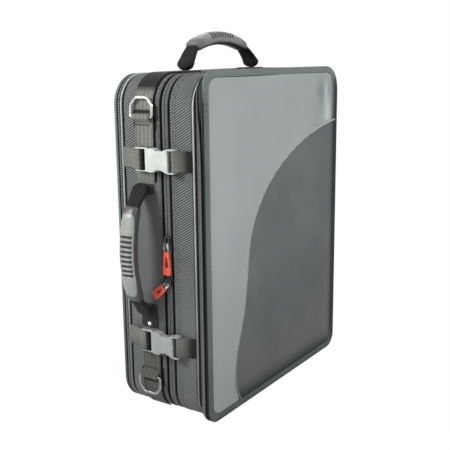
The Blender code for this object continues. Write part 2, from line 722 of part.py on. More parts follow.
def offset_line(points, distance):
    # The line moved to its left by a distance, and lengthened past both ends
    moved = []
    for here in range(len(points)):
        before = points[max(here - 1, 0)]
        after = points[min(here + 1, len(points) - 1)]
        along = (after - before).normalized()
        moved.append(points[here] + distance * Vector((-along.y, along.x)))
    first = (points[0] - points[1]).normalized()
    last = (points[-1] - points[-2]).normalized()
    return [moved[0] + OVERRUN * first] + moved + [moved[-1] + OVERRUN * last]


def make_front_skins(seat, pocket):
    middle = seat - SKIN_THICKNESS / 2
    clearance = SEAM_RADIUS + SEAT_GAP
    low = -OVERRUN
    right = RIGHT_X + OVERRUN
    left = LEFT_X - OVERRUN
    high = CASE_HEIGHT + OVERRUN
    seam = seam_points()
    towards_dark = offset_line(seam, clearance)
    towards_light = offset_line(seam, -clearance)
    start, end = seam[0], seam[-1]
    not_dark = towards_dark + [(end.x, low), (left, low), (left, high), (right, high), (right, start.y)]
    not_light = towards_light + [(end.x, low), (right, low), (right, start.y)]
    for name, removed in (("dark_panel", not_dark), ("light_panel", not_light)):
        skin = case_layer(name, (
            (seat, SKIN_INSET),
            (seat - SKIN_THICKNESS + SKIN_ROUND, SKIN_INSET),
            (seat - SKIN_THICKNESS, SKIN_INSET + SKIN_ROUND),
        ), "dark_skin" if name == "dark_panel" else "light_skin", pocket)
        mesh = plate_mesh("beyond_" + name, [removed], SKIN_THICKNESS + 2 * OVERRUN)
        place = Matrix.Translation((0, middle, 0)) @ ON_FRONT
        combine(skin, new_cutter("beyond_" + name, mesh, place))
    cord = [(point.x, seat - SEAM_RADIUS, point.y) for point in seam]
    new_piece("seam_piping", tube_mesh("seam_piping", cord, SEAM_RADIUS, SEAM_SIDES), "piping",
              parent=pocket)


def make_webbing():
    left = Vector((-1, 0, 0))
    up = Vector((0, 0, 1))
    profile = (
        (WEBBING_Y - WEBBING_WIDTH / 2, -SEAT_GAP),
        (WEBBING_Y + WEBBING_WIDTH / 2, -SEAT_GAP),
        (WEBBING_Y + WEBBING_WIDTH / 2, -SEAT_GAP - WEBBING_THICKNESS),
        (WEBBING_Y - WEBBING_WIDTH / 2, -SEAT_GAP - WEBBING_THICKNESS),
    )
    low = SIDE_HANDLE_Z + SIDE_FOOT_UPPER_OUTER + SEAT_GAP
    end = TOP_HANDLE_X - TOP_FOOT_OUTER - SEAT_GAP
    corner = list(reversed(corner_stations(1)))
    sweep("side_webbing_upper", profile,
          [(Vector((LEFT_X, 0, low)), left)] + corner + [(Vector((end, 0, CASE_HEIGHT)), up)],
          "webbing")
    high = SIDE_HANDLE_Z - SIDE_FOOT_LOWER_OUTER - SEAT_GAP
    sweep("side_webbing_lower", profile,
          [(Vector((LEFT_X, 0, high)), left)] + corner_stations(2)[:WEBBING_CORNER_STEPS + 1],
          "webbing")


def loop_rise():
    # Height of a ring's bar over the wall, so that its loop's tail lies on the webbing
    tail_seat = SEAT_GAP + WEBBING_THICKNESS + SEAT_GAP
    return tail_seat + LOOP_THICKNESS + SEAT_GAP + RING_WIRE_RADIUS


def make_ring_loop(name, z, frame):
    # Webbing folded round the bar: a round eye with a tail, seen along the bar
    hole = RING_WIRE_RADIUS + SEAT_GAP
    outer = hole + LOOP_THICKNESS
    meet = asin(hole / outer)
    outline = [(-outer, -LOOP_TAIL)]
    for step in range(LOOP_STEPS + 1):
        angle = -pi + (3 * pi / 2 + meet) * step / LOOP_STEPS
        outline.append((outer * cos(angle), -outer * sin(angle)))
    outline.append((-hole, -LOOP_TAIL))
    eye = [(hole * cos(2 * pi * step / LOOP_STEPS), hole * sin(2 * pi * step / LOOP_STEPS))
           for step in range(LOOP_STEPS)]
    place = Matrix.Translation((LEFT_X - loop_rise(), WEBBING_Y, z)) @ frame
    new_piece(name, plate_mesh(name, [outline, eye], WEBBING_WIDTH), "webbing", place)


def ring_points():
    # The ring in its own plane: bar through the origin, reach along +z, width along y
    points = []
    for side in (-1, 1):
        corner = []
        for step in range(RING_CORNER_STEPS + 1):
            angle = pi / 2 * step / RING_CORNER_STEPS
            corner.append((0, side * (RING_HALF_WIDTH - RING_CORNER + RING_CORNER * sin(angle)),
                           RING_CORNER * (1 - cos(angle))))
        points.append(corner)
    arch = []
    for step in range(RING_ARCH_STEPS + 1):
        angle = pi * step / RING_ARCH_STEPS
        arch.append((0, RING_HALF_WIDTH * cos(angle), RING_LEG + (RING_REACH - RING_LEG) * sin(angle)))
    return points[1] + arch + list(reversed(points[0]))


def make_ring(name, z, turn, parent):
    place = Matrix.Translation((LEFT_X - loop_rise(), WEBBING_Y, z)) @ Matrix.Rotation(turn, 4, "Y")
    mesh = tube_mesh(name, ring_points(), RING_WIRE_RADIUS, 8, cyclic=True)
    new_piece(name, mesh, "chrome", place, parent)


def wall_place(z):
    return Matrix.Translation((LEFT_X, BUCKLE_MEETING_Y, z)) @ ON_LEFT_WALL


def cut_box(piece, name, low, high, place):
    combine(piece, new_cutter(name, box_mesh(name, low, high), place))


def soften(piece):
    bevel = piece.modifiers.new("soft_edges", "BEVEL")
    bevel.width = BUCKLE_BEVEL
    bevel.segments = 1
    bevel.limit_method = "ANGLE"
    bevel.angle_limit = radians(50)


def cut_strap_bar(piece, name, bar_low, bar_high, rim, slot_end, thick_low, thick_high, place):
    # Opens the slot beside a bar, thins the bar and clears the rim beyond it for the strap
    half = STRAP_WIDTH / 2 + STRAP_SLOT_PLAY
    slot = sorted((bar_low if slot_end < bar_low else bar_high, slot_end))
    cut_box(piece, name + "_slot", (slot[0], -half, thick_low - OVERRUN),
            (slot[1], half, thick_high + OVERRUN), place)
    beyond = sorted((rim, bar_high if slot_end < bar_low else bar_low))
    cut_box(piece, name + "_rim", (beyond[0], -half, thick_low - OVERRUN),
            (beyond[1], half, thick_high + OVERRUN), place)
    bar = (bar_low - SEAT_GAP, bar_high + SEAT_GAP)
    cut_box(piece, name + "_bar_top", (bar[0], -half, BAR_REST + BAR_THICKNESS),
            (bar[1], half, thick_high + OVERRUN), place)
    cut_box(piece, name + "_bar_under", (bar[0], -half, thick_low - OVERRUN),
            (bar[1], half, BAR_REST), place)


def make_male(side, z):
    name = side + "_male_buckle"
    half = BUCKLE_WIDTH / 2
    base = MALE_BASE_WIDTH / 2
    tongue = MALE_TONGUE_WIDTH / 2
    outline = mirrored_outline((
        (-MALE_FRAME_LENGTH, half - BUCKLE_CORNER),
        (-MALE_FRAME_LENGTH + BUCKLE_CORNER, half),
        (-BUCKLE_CORNER, half),
        (0, half - BUCKLE_CORNER),
        (0, base),
        (MALE_BASE_LENGTH, base),
        (MALE_BASE_LENGTH, tongue),
        (MALE_TONGUE_LENGTH - tongue / 2, tongue),
        (MALE_TONGUE_LENGTH, tongue / 2),
    ))
    middle = Matrix.Translation((0, 0, MALE_REST + MALE_THICKNESS / 2))
    piece = new_piece(name, plate_mesh(name, [outline], MALE_THICKNESS), "buckle_plastic",
                      wall_place(z) @ middle)
    soften(piece)
    bar_low = -MALE_FRAME_LENGTH + MALE_RAIL
    cut_strap_bar(piece, name, bar_low, bar_low + MALE_BAR_LENGTH, -MALE_FRAME_LENGTH - OVERRUN,
                  -MALE_SLOT_FRONT, MALE_REST, MALE_REST + MALE_THICKNESS, wall_place(z))
    return bar_low + MALE_BAR_LENGTH / 2


def make_female(side, z, lid):
    name = side + "_female_buckle"
    half = BUCKLE_WIDTH / 2
    outline = mirrored_outline([
        (SEAT_GAP + along * FEMALE_LENGTH, across * half) for along, across in FEMALE_HALF_SHARES
    ])
    middle = Matrix.Translation((0, 0, FEMALE_REST + FEMALE_THICKNESS / 2))
    piece = new_piece(name, plate_mesh(name, [outline], FEMALE_THICKNESS), "buckle_plastic",
                      wall_place(z) @ middle, lid)
    soften(piece)
    top = FEMALE_REST + FEMALE_THICKNESS
    cut_box(piece, name + "_socket",
            (-OVERRUN, -SOCKET_WIDTH / 2, FEMALE_REST + SOCKET_FLOOR),
            (SEAT_GAP + SOCKET_DEPTH, SOCKET_WIDTH / 2, top - SOCKET_ROOF), wall_place(z))
    end = SEAT_GAP + FEMALE_LENGTH
    bar_high = end - FEMALE_RAIL
    bar_low = bar_high - FEMALE_BAR_LENGTH
    cut_strap_bar(piece, name, bar_low, bar_high, end + OVERRUN, bar_low - FEMALE_SLOT_LENGTH,
                  FEMALE_REST, top, wall_place(z))
    return bar_low + FEMALE_BAR_LENGTH / 2


def prong_outline():
    # The upper arm round its pivot: a round root, then the arm with its release shoulder
    outline = []
    for step in range(PRONG_ROOT_STEPS + 1):
        angle = pi / 2 + pi * step / PRONG_ROOT_STEPS
        outline.append((PRONG_ROOT_RADIUS * cos(angle), PRONG_ROOT_RADIUS * sin(angle)))
    outline += [(x * PRONG_LENGTH, y * PRONG_HALF_WIDTH) for x, y in PRONG_SHARES]
    return outline


def make_prong(side, end, sign, z):
    name = f"{side}_prong_{end}"
    pivot = (MALE_BASE_LENGTH + PRONG_PIVOT_AHEAD, sign * PRONG_PIVOT_SIDE,
             MALE_REST + MALE_THICKNESS / 2)
    place = wall_place(z) @ Matrix.Translation(pivot)
    axis = joint_axis(name + "_axis", place.translation)
    outline = [(x, sign * y) for x, y in prong_outline()]
    mesh = plate_mesh(name, [outline], MALE_THICKNESS - PRONG_THIN)
    new_piece(name, mesh, "buckle_plastic", place, axis)


def make_buckle_strap(name, bar, bar_length, wall_end, z, parent=None):
    # From the wall, up and over the bar, round it and a short way back under itself
    away = 1 if wall_end > bar else -1
    on_wall = SEAT_GAP + STRAP_THICKNESS / 2
    over = BAR_REST + BAR_THICKNESS + SEAT_GAP + STRAP_THICKNESS / 2
    under = BAR_REST - SEAT_GAP - STRAP_THICKNESS / 2
    middle = (over + under) / 2
    run = abs(wall_end - bar)
    path = [(wall_end, on_wall)]
    for run_share, rise_share in STRAP_RISE_SHARES:
        path.append((wall_end - away * run * run_share, on_wall + (over - on_wall) * rise_share))
    path.append((bar + away * (bar_length / 2 + SEAT_GAP), over))
    for step in range(STRAP_FOLD_STEPS + 1):
        angle = pi * step / STRAP_FOLD_STEPS
        path.append((bar - away * (bar_length / 2 + STRAP_FOLD_REACH * sin(angle)),
                     middle + (over - middle) * cos(angle)))
    path.append((bar + away * STRAP_TAIL, under - STRAP_TAIL_DROP))
    ribbon(name, path, STRAP_WIDTH, STRAP_THICKNESS, "webbing", wall_place(z), parent)


def make_buckle(side, z, lid):
    back_end = BUCKLE_MEETING_Y - (REAR_PIPING_Y - PIPING_RADIUS - STRAP_WALL_END_GAP)
    front_end = BUCKLE_MEETING_Y - (FRONT_PIPING_Y + PIPING_RADIUS + STRAP_WALL_END_GAP)
    male_bar = make_male(side, z)
    make_buckle_strap(side + "_back_strap", male_bar, MALE_BAR_LENGTH, back_end, z)
    make_prong(side, "top", 1, z)
    make_prong(side, "bottom", -1, z)
    female_bar = make_female(side, z, lid)
    make_buckle_strap(side + "_front_strap", female_bar, FEMALE_BAR_LENGTH, front_end, z, lid)


def handle_line(u, rise):
    # Point and slope of the grip's centre line at u along the span
    share = u / GRIP_HALF_LENGTH
    point = Vector((u, rise - GRIP_DROP * share ** 2))
    return point, atan2(-2 * GRIP_DROP * share, GRIP_HALF_LENGTH)


def strap_half(rise):
    # Stations from the middle to the tip: (point, slope, half width, half thickness)
    core = (CORE_HALF_WIDTH, CORE_HALF_THICKNESS)
    stations = []
    for step in range(CORE_STEPS + 1):
        stations.append((*handle_line(GRIP_HALF_LENGTH * step / CORE_STEPS, rise), *core))
    end, slope = handle_line(GRIP_HALF_LENGTH, rise)
    start = end + SEAT_GAP * Vector((cos(slope), sin(slope)))
    stations.append((start, slope, *core))
    stations.append((start, slope, SLEEVE_HALF_WIDTH, SLEEVE_HALF_THICKNESS))
    hinge = Vector((HANDLE_HALF_SPAN, HINGE_RISE))
    chord = hinge - start
    lean = atan2(chord.y, chord.x)
    normal = Vector((-sin(lean), cos(lean)))
    taper = SLEEVE_HALF_WIDTH - HANDLE_END_RADIUS
    for share in SLEEVE_SHARES:
        bulge = SLEEVE_BULGE * 4 * share * (1 - share)
        turn = SLEEVE_BULGE * 4 * (1 - 2 * share) / chord.length
        narrowed = max(share - SLEEVE_TAPER_SHARE, 0) / (1 - SLEEVE_TAPER_SHARE)
        stations.append((start + chord * share + normal * bulge, lean + turn,
                         SLEEVE_HALF_WIDTH - taper * narrowed, SLEEVE_HALF_THICKNESS))
    tip_slope = stations[-1][1]
    along = Vector((cos(tip_slope), sin(tip_slope)))
    for share in HANDLE_END_SHARES:
        half_width = HANDLE_END_RADIUS * sqrt(1 - share ** 2)
        stations.append((hinge + along * HANDLE_END_RADIUS * share, tip_slope, half_width,
                         SLEEVE_HALF_THICKNESS))
    return stations


def whole_handle(half):
    mirrored = [(Vector((-point.x, point.y)), -slope, *size) for point, slope, *size in half[1:]]
    return list(reversed(mirrored)) + list(half)


def band_ring(point, slope, half_width, half_thickness):
    # An eight-sided section across the handle's centre line
    normal = Vector((-sin(slope), cos(slope)))
    cut = SECTION_CHAMFER_SHARE * half_thickness
    ring = []
    for across, out in ((half_width, half_thickness - cut), (half_width - cut, half_thickness)):
        ring.append((across, out))
    corners = ring + [(-across, out) for across, out in reversed(ring)]
    corners += [(across, -out) for across, out in reversed(corners)]
    return [(point.x + normal.x * out, across, point.y + normal.y * out) for across, out in corners]


def grip_stations():
    # Places along the grip with the depth of the groove there, from one end to the other
    half = []
    for groove in range((GROOVE_COUNT - 1) // 2 + 1):
        middle = groove * GROOVE_PITCH
        for edge, depth in ((-GROOVE_WIDTH / 2, 0), (-GROOVE_WIDTH / 2 + GROOVE_WALL, GROOVE_DEPTH),
                            (GROOVE_WIDTH / 2 - GROOVE_WALL, GROOVE_DEPTH), (GROOVE_WIDTH / 2, 0)):
            if middle + edge > 0:
                half.append((middle + edge, depth))
    half += [(share * GRIP_HALF_LENGTH, 0) for share in GRIP_END_SHARES]
    half.append((GRIP_HALF_LENGTH, 0))
    return [(-u, depth) for u, depth in reversed(half)] + half


def grip_ring(u, depth, rise):
    point, slope = handle_line(u, rise)
    normal = Vector((-sin(slope), cos(slope)))
    fullness = 1 - (u / GRIP_HALF_LENGTH) ** 2
    half_width = GRIP_END_HALF_WIDTH + (GRIP_HALF_WIDTH - GRIP_END_HALF_WIDTH) * fullness
    half_thick = (GRIP_END_HALF_THICKNESS
                  + (GRIP_HALF_THICKNESS - GRIP_END_HALF_THICKNESS) * fullness)
    if abs(u) == GRIP_HALF_LENGTH:
        half_width -= GRIP_END_ROUND
        half_thick -= GRIP_END_ROUND
    ring = []
    for side in range(GRIP_SIDES):
        angle = 2 * pi * (side + 0.5) / GRIP_SIDES
        across = half_width * cos(angle)
        out = half_thick * sin(angle)
        sink = depth * sqrt(max(sin(angle), 0)) / hypot(across, out)
        across -= across * sink
        out -= out * sink
        ring.append((point.x + normal.x * out, across, point.y + normal.y * out))
    return ring


def core_cutter_mesh(name, rise):
    # The strap's way through the grip, with its clearance, run out past both ends
    wide = (CORE_HALF_WIDTH + SEAT_GAP, CORE_HALF_THICKNESS + SEAT_GAP)
    half = [(*handle_line(GRIP_HALF_LENGTH * step / CORE_STEPS, rise), *wide)
            for step in range(CORE_STEPS + 1)]
    end, slope = handle_line(GRIP_HALF_LENGTH, rise)
    half.append((end + OVERRUN * Vector((cos(slope), sin(slope))), slope, *wide))
    return loft_mesh(name, [band_ring(*station) for station in whole_handle(half)])


def make_handle(name, rise, place, axis):
    rings = [band_ring(*station) for station in whole_handle(strap_half(rise))]
    strap = name + "_strap"
    new_piece(strap, loft_mesh(strap, rings), "handle_sleeve", place, axis)
    grip = name + "_grip"
    mesh = loft_mesh(grip, [grip_ring(u, depth, rise) for u, depth in grip_stations()])
    piece = new_piece(grip, mesh, "grip_rubber", place, axis)
    combine(piece, new_cutter(grip + "_bore", core_cutter_mesh(grip + "_bore", rise), place))


def make_foot(name, low, high, place):
    length = high - low
    half = WEBBING_WIDTH / 2
    outline = []
    for corner, (side_x, side_y) in enumerate(((1, 1), (-1, 1), (-1, -1), (1, -1))):
        for step in range(FOOT_CORNER_STEPS + 1):
            angle = (corner + step / FOOT_CORNER_STEPS) * pi / 2
            outline.append((low + length / 2 + side_x * (length / 2 - FOOT_CORNER)
                            + FOOT_CORNER * cos(angle),
                            side_y * (half - FOOT_CORNER) + FOOT_CORNER * sin(angle)))
    lift = Matrix.Translation((0, 0, SEAT_GAP + FOOT_THICKNESS / 2))
    new_piece(name, plate_mesh(name, [outline], FOOT_THICKNESS), "handle_sleeve", place @ lift)


def make_rivet(place):
    name = "side_handle_rivet"
    build = bmesh.new()
    profile = [build.verts.new((RIVET_RADIUS * across, 0, RIVET_RISE * up))
               for across, up in RIVET_SHARES]
    for above, below in zip(profile, profile[1:]):
        build.edges.new((above, below))
    mesh = bpy.data.meshes.new(name)
    build.to_mesh(mesh)
    build.free()
    seat = Matrix.Translation((RIVET_MARGIN - SIDE_FOOT_LOWER_OUTER, 0,
                               SEAT_GAP + FOOT_THICKNESS + SEAT_GAP))
    rivet = new_piece(name, mesh, "chrome", place @ seat)
    screw = rivet.modifiers.new("turned", "SCREW")
    screw.steps = RIVET_STEPS
    screw.render_steps = RIVET_STEPS
    screw.use_merge_vertices = True
    screw.merge_threshold = SEAT_GAP / 10
    screw.use_smooth_shade = True


def make_handles():
    side_place = Matrix.Translation((LEFT_X, WEBBING_Y, SIDE_HANDLE_Z)) @ LEFT_HANDLE_TURN
    top_place = Matrix.Translation((TOP_HANDLE_X, WEBBING_Y, CASE_HEIGHT))
    hinge = Vector((0, 0, HINGE_RISE))
    side_axis = joint_axis("side_handle_axis", side_place @ hinge)
    top_axis = joint_axis("top_handle_axis", top_place @ hinge)
    make_handle("side_handle", SIDE_GRIP_RISE, side_place, side_axis)
    make_handle("top_handle", TOP_GRIP_RISE, top_place, top_axis)
    make_foot("side_foot_upper", SIDE_FOOT_UPPER_INNER, SIDE_FOOT_UPPER_OUTER, side_place)
    make_foot("side_foot_lower", -SIDE_FOOT_LOWER_OUTER, -SIDE_FOOT_LOWER_INNER, side_place)
    make_foot("top_foot_left", -TOP_FOOT_OUTER, -TOP_FOOT_INNER, top_place)
    make_foot("top_foot_right", TOP_FOOT_INNER, TOP_FOOT_OUTER, top_place)
    make_rivet(side_place)


def make_slider_body(name, place, axis):
    outline = mirrored_outline([
        (along * SLIDER_LENGTH / 2, across * SLIDER_WIDTH / 2) for across, along in SLIDER_HALF_SHARES
    ])
    outline = [(y, x) for x, y in outline]
    lift = Matrix.Translation((0, 0, SLIDER_REST + SLIDER_THICKNESS / 2))
    piece = new_piece(name, plate_mesh(name, [outline], SLIDER_THICKNESS), "slider_metal",
                      place @ lift, axis)
    inner = CROWN_OPENING_HALF_LENGTH
    outer = inner + CROWN_BAR
    top = SLIDER_REST + SLIDER_THICKNESS
    sunk = top - CROWN_SINK
    roof = top + CROWN_OPENING_HEIGHT
    crown = [
        (outer, sunk), (outer, roof + CROWN_BAR - CROWN_CHAMFER),
        (outer - CROWN_CHAMFER, roof + CROWN_BAR), (-outer + CROWN_CHAMFER, roof + CROWN_BAR),
        (-outer, roof + CROWN_BAR - CROWN_CHAMFER), (-outer, sunk), (-inner, sunk),
        (-inner, roof), (inner, roof), (inner, sunk),
    ]
    mesh = plate_mesh(name + "_crown", [crown], CROWN_WIDTH)
    combine(piece, new_cutter(name + "_crown", mesh, place @ ACROSS_SLIDER), "UNION")


def make_pull(name, finish, place, reach, length, axis):
    # The wire link through the crown and the moulded pull that its legs are seated in
    foot = -reach - LINK_SEAT
    wire = [
        (-LINK_HALF_WIDTH, foot, 0), (-LINK_HALF_WIDTH, -LINK_CORNER, 0),
        (-LINK_HALF_WIDTH + LINK_CORNER, 0, 0), (LINK_HALF_WIDTH - LINK_CORNER, 0, 0),
        (LINK_HALF_WIDTH, -LINK_CORNER, 0), (LINK_HALF_WIDTH, foot, 0),
    ]
    link = name + "_pull_link"
    new_piece(link, tube_mesh(link, wire, LINK_WIRE_RADIUS, 6), "slider_metal", place, axis)
    grip = name + "_pull_grip"
    outline = [(x * PULL_HALF_WIDTH, -reach - y * length) for x, y in PULL_HALF_SHARES]
    outline += [(-x, y) for x, y in reversed(outline)]
    slot = [(x * PULL_HALF_WIDTH, -reach - y * length) for x, y in PULL_SLOT_SHARES]
    slot += [(-x, y) for x, y in reversed(slot)]
    piece = new_piece(grip, plate_mesh(grip, [outline, slot], PULL_THICKNESS), finish, place, axis)
    for side, sign in (("left", -1), ("right", 1)):
        bore = f"{grip}_bore_{side}"
        way = [(sign * LINK_HALF_WIDTH, -reach + OVERRUN, 0),
               (sign * LINK_HALF_WIDTH, foot - SEAT_GAP, 0)]
        mesh = tube_mesh(bore, way, LINK_WIRE_RADIUS + SEAT_GAP, 8)
        combine(piece, new_cutter(bore, mesh, place))


def make_zip_slider(name, frame, wall_point, finish, parent=None):
    # A slider on its wall, with the pull turned in the plane of the wall
    place = Matrix.Translation(wall_point) @ frame
    slider_axis = joint_axis(name + "_slider_axis", wall_point, parent)
    make_slider_body(name + "_slider", place, slider_axis)
    pull = ZIP_PULLS[name]
    turn = radians(pull["turn"])
    across = Vector((-cos(turn), -sin(turn), 0))
    bar = Vector((0, LINK_ALONG_CROWN[name], LINK_RISE)) + LINK_SIDE_SHIFT[name] * across
    pull_place = place @ Matrix.Translation(bar) @ Matrix.Rotation(turn, 4, "Z")
    pull_axis = joint_axis(name + "_pull_axis", pull_place.translation, slider_axis)
    make_pull(name, finish, pull_place, pull["reach"], pull["length"], pull_axis)


def make_zip_sliders(lid):
    make_zip_slider("upper", ON_LEFT_WALL, Vector((LEFT_X, ZIP_Y, UPPER_SLIDER_Z)), "red_pull")
    make_zip_slider("lower", ON_LEFT_WALL, Vector((LEFT_X, ZIP_Y, LOWER_SLIDER_Z)), "red_pull")
    make_zip_slider("pocket", ON_TOP, Vector((POCKET_SLIDER_X, POCKET_ZIP_Y, CASE_HEIGHT)),
                    "handle_sleeve", lid)


def make_rings():
    rise = loop_rise()
    make_ring_loop("upper_ring_loop", UPPER_RING_Z, ALONG_WALL_UP)
    make_ring_loop("lower_ring_loop", LOWER_RING_Z, ALONG_WALL_DOWN)
    upper = joint_axis("upper_ring_axis", (LEFT_X - rise, WEBBING_Y, UPPER_RING_Z))
    lower = joint_axis("lower_ring_axis", (LEFT_X - rise, WEBBING_Y, LOWER_RING_Z))
    make_ring("upper_d_ring", UPPER_RING_Z, radians(UPPER_RING_LEAN), upper)
    make_ring("lower_d_ring", LOWER_RING_Z, pi, lower)


clear_scene()
parts = new_collection("oboe_case")
cutters = new_collection("oboe_case_cutters")
lid_axis = joint_axis("lid_axis", (RIGHT_X, ZIP_Y, 0))
pocket_axis = joint_axis("pocket_axis", (RIGHT_X, POCKET_ZIP_Y, 0), lid_axis)
make_back_half()
make_foam_tray()
make_lid(lid_axis)
make_pocket(pocket_axis)
make_webbing()
make_rings()
for buckle, height in BUCKLE_HEIGHTS.items():
    make_buckle(buckle, height, lid_axis)
make_handles()
make_zip_sliders(lid_axis)
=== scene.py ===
import json
import math

import bmesh
import bpy
from mathutils import Matrix, Vector
from mathutils.geometry import interpolate_bezier

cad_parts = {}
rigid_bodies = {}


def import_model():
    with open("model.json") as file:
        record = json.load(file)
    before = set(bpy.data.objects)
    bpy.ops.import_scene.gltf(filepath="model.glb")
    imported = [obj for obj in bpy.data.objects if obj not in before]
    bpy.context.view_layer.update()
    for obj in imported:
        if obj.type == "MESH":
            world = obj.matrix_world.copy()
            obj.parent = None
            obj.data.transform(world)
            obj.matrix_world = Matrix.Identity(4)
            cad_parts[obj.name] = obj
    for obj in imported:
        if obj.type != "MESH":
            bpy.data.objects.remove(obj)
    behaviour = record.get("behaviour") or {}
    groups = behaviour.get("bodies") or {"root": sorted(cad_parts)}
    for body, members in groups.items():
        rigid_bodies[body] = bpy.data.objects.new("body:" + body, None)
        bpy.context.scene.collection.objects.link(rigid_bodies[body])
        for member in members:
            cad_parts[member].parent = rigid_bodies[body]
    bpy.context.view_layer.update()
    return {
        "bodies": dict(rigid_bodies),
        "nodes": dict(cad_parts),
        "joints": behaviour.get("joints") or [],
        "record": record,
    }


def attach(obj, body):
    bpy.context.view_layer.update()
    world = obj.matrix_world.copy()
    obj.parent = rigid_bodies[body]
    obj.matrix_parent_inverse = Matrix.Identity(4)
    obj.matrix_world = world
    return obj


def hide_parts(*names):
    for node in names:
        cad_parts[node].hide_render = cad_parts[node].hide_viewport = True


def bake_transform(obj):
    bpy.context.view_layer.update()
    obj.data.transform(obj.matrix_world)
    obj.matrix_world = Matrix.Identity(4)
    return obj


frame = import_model()


# Camera, floor and light
cameraSetup = {
    "place": (-0.85574, -0.56501, 0.43963),
    "right": (0.56149, -0.82739, -0.01232),
    "up": (0.18983, 0.11431, 0.97514),
    "back": (-0.80542, -0.54987, 0.22125),
    "lens": 62.91,
}
stageLook = {
    "floorSize": 8.0, "floorColor": (0.86, 0.86, 0.86, 1),
    "floorDrop": 0.0003, "whiteShare": 0.97,
    "whiteStrength": 1.02, "skyColor": (0.96, 0.98, 1.0, 1),
    "skyStrength": 0.24,
}
lampSetup = {
    "keyLamp": {"place": (-0.72, 0.34, 0.66), "aim": (-0.16, 0.0, 0.24), "size": 0.24, "power": 5.6},
    "frontLamp": {"place": (-0.10, -1.8, 1.45), "aim": (0.0, -0.06, 0.22), "size": 1.1, "power": 26},
    "backLamp": {"place": (1.7, 1.5, 1.3), "aim": (0.0, 0.0, 0.2), "size": 1.5, "power": 9},
}


def addNode(material, kind, inputs=None, **settings):
    made = material.node_tree.nodes.new("ShaderNode" + kind)
    for name, value in settings.items():
        setattr(made, name, value)
    for key, value in (inputs or {}).items():
        if isinstance(value, bpy.types.NodeSocket):
            material.node_tree.links.new(value, made.inputs[key])
        else:
            made.inputs[key].default_value = value
    return made


def makeCamera():
    camera = bpy.data.objects.new("photoCamera", bpy.data.cameras.new("photoCamera"))
    bpy.context.scene.collection.objects.link(camera)
    axes = Matrix([cameraSetup["right"], cameraSetup["up"], cameraSetup["back"]]).transposed()
    camera.matrix_world = Matrix.LocRotScale(Vector(cameraSetup["place"]), axes.to_quaternion(), None)
    camera.data.lens = cameraSetup["lens"]
    camera.data.sensor_width = 36
    camera.data.clip_start = 0.02
    bpy.context.scene.camera = camera


def mathOf(material, operation, first, second=0.0):
    return addNode(material, "Math", {0: first, 1: second}, operation=operation).outputs[0]


def backgroundSeen(material):
    # 1 where the floor or the room is looked at, straight on, mirrored or through glass
    ray = addNode(material, "LightPath").outputs
    seen = mathOf(material, "MAXIMUM", ray["Is Camera Ray"], ray["Is Glossy Ray"])
    return mathOf(material, "MAXIMUM", seen, ray["Is Transmission Ray"])


def makeFloor():
    bpy.ops.object.select_all(action="DESELECT")
    bpy.ops.mesh.primitive_plane_add(size=stageLook["floorSize"], location=(0, 0, -stageLook["floorDrop"]))
    floor = bpy.context.object
    floor.name = "floor"
    paint = bpy.data.materials.new("floorPaint")
    paint.use_nodes = True
    tree = paint.node_tree
    tree.nodes.remove(tree.nodes["Principled BSDF"])
    matte = addNode(paint, "BsdfDiffuse", {"Color": stageLook["floorColor"]})
    white = addNode(paint, "Emission", {"Color": (1, 1, 1, 1), "Strength": stageLook["whiteStrength"]})
    share = mathOf(paint, "MULTIPLY", backgroundSeen(paint), stageLook["whiteShare"])
    blend = addNode(paint, "MixShader", {0: share, 1: matte.outputs[0], 2: white.outputs[0]})
    tree.links.new(blend.outputs[0], tree.nodes["Material Output"].inputs["Surface"])
    floor.data.materials.append(paint)


def makeRoom():
    world = bpy.data.worlds.new("paleRoom")
    bpy.context.scene.world = world
    world.use_nodes = True
    sky = world.node_tree.nodes["Background"]
    sky.inputs["Color"].default_value = stageLook["skyColor"]
    sky.inputs["Strength"].default_value = stageLook["skyStrength"]
    paper = addNode(world, "Background", {"Color": (1, 1, 1, 1), "Strength": 1.0})
    blend = addNode(world, "MixShader", {0: backgroundSeen(world), 1: sky.outputs[0], 2: paper.outputs[0]})
    world.node_tree.links.new(blend.outputs[0], world.node_tree.nodes["World Output"].inputs["Surface"])
    bpy.context.scene.view_settings.view_transform = "Standard"


def makeLamps():
    for name, lamp in lampSetup.items():
        light = bpy.data.lights.new(name, "AREA")
        light.energy = lamp["power"]
        light.size = lamp["size"]
        holder = bpy.data.objects.new(name, light)
        bpy.context.scene.collection.objects.link(holder)
        holder.location = lamp["place"]
        holder.visible_camera = False
        aim = Vector(lamp["aim"]) - holder.location
        holder.rotation_euler = aim.to_track_quat("-Z", "Y").to_euler()


# Working in edit mode
def deselectAll():
    if bpy.context.mode != "OBJECT":
        objectMode()
    bpy.ops.object.select_all(action="DESELECT")


def chooseOnly(piece):
    deselectAll()
    bpy.context.view_layer.objects.active = piece
    piece.select_set(True)


def editMode():
    bpy.ops.object.mode_set(mode="EDIT")


def objectMode():
    bpy.ops.object.mode_set(mode="OBJECT")


def newPiece(name, primitive, **settings):
    # a primitive to shape, alone and selected
    deselectAll()
    primitive(**settings)
    piece = bpy.context.object
    piece.name = name
    piece.data.name = name
    return piece


def pickVerts(piece, wanted):
    # selects the points for which wanted(place) is true, in edit mode
    bpy.ops.mesh.select_mode(type="VERT")
    build = bmesh.from_edit_mesh(piece.data)
    for face in build.faces:
        face.select = False
    for edge in build.edges:
        edge.select = False
    for vert in build.verts:
        vert.select = bool(wanted(vert.co))
    build.select_flush(True)
    bmesh.update_edit_mesh(piece.data)


def applyModifier(piece, kind, **settings):
    chooseOnly(piece)
    made = piece.modifiers.new(kind.lower(), kind)
    for name, value in settings.items():
        setattr(made, name, value)
    bpy.ops.object.modifier_apply(modifier=made.name)


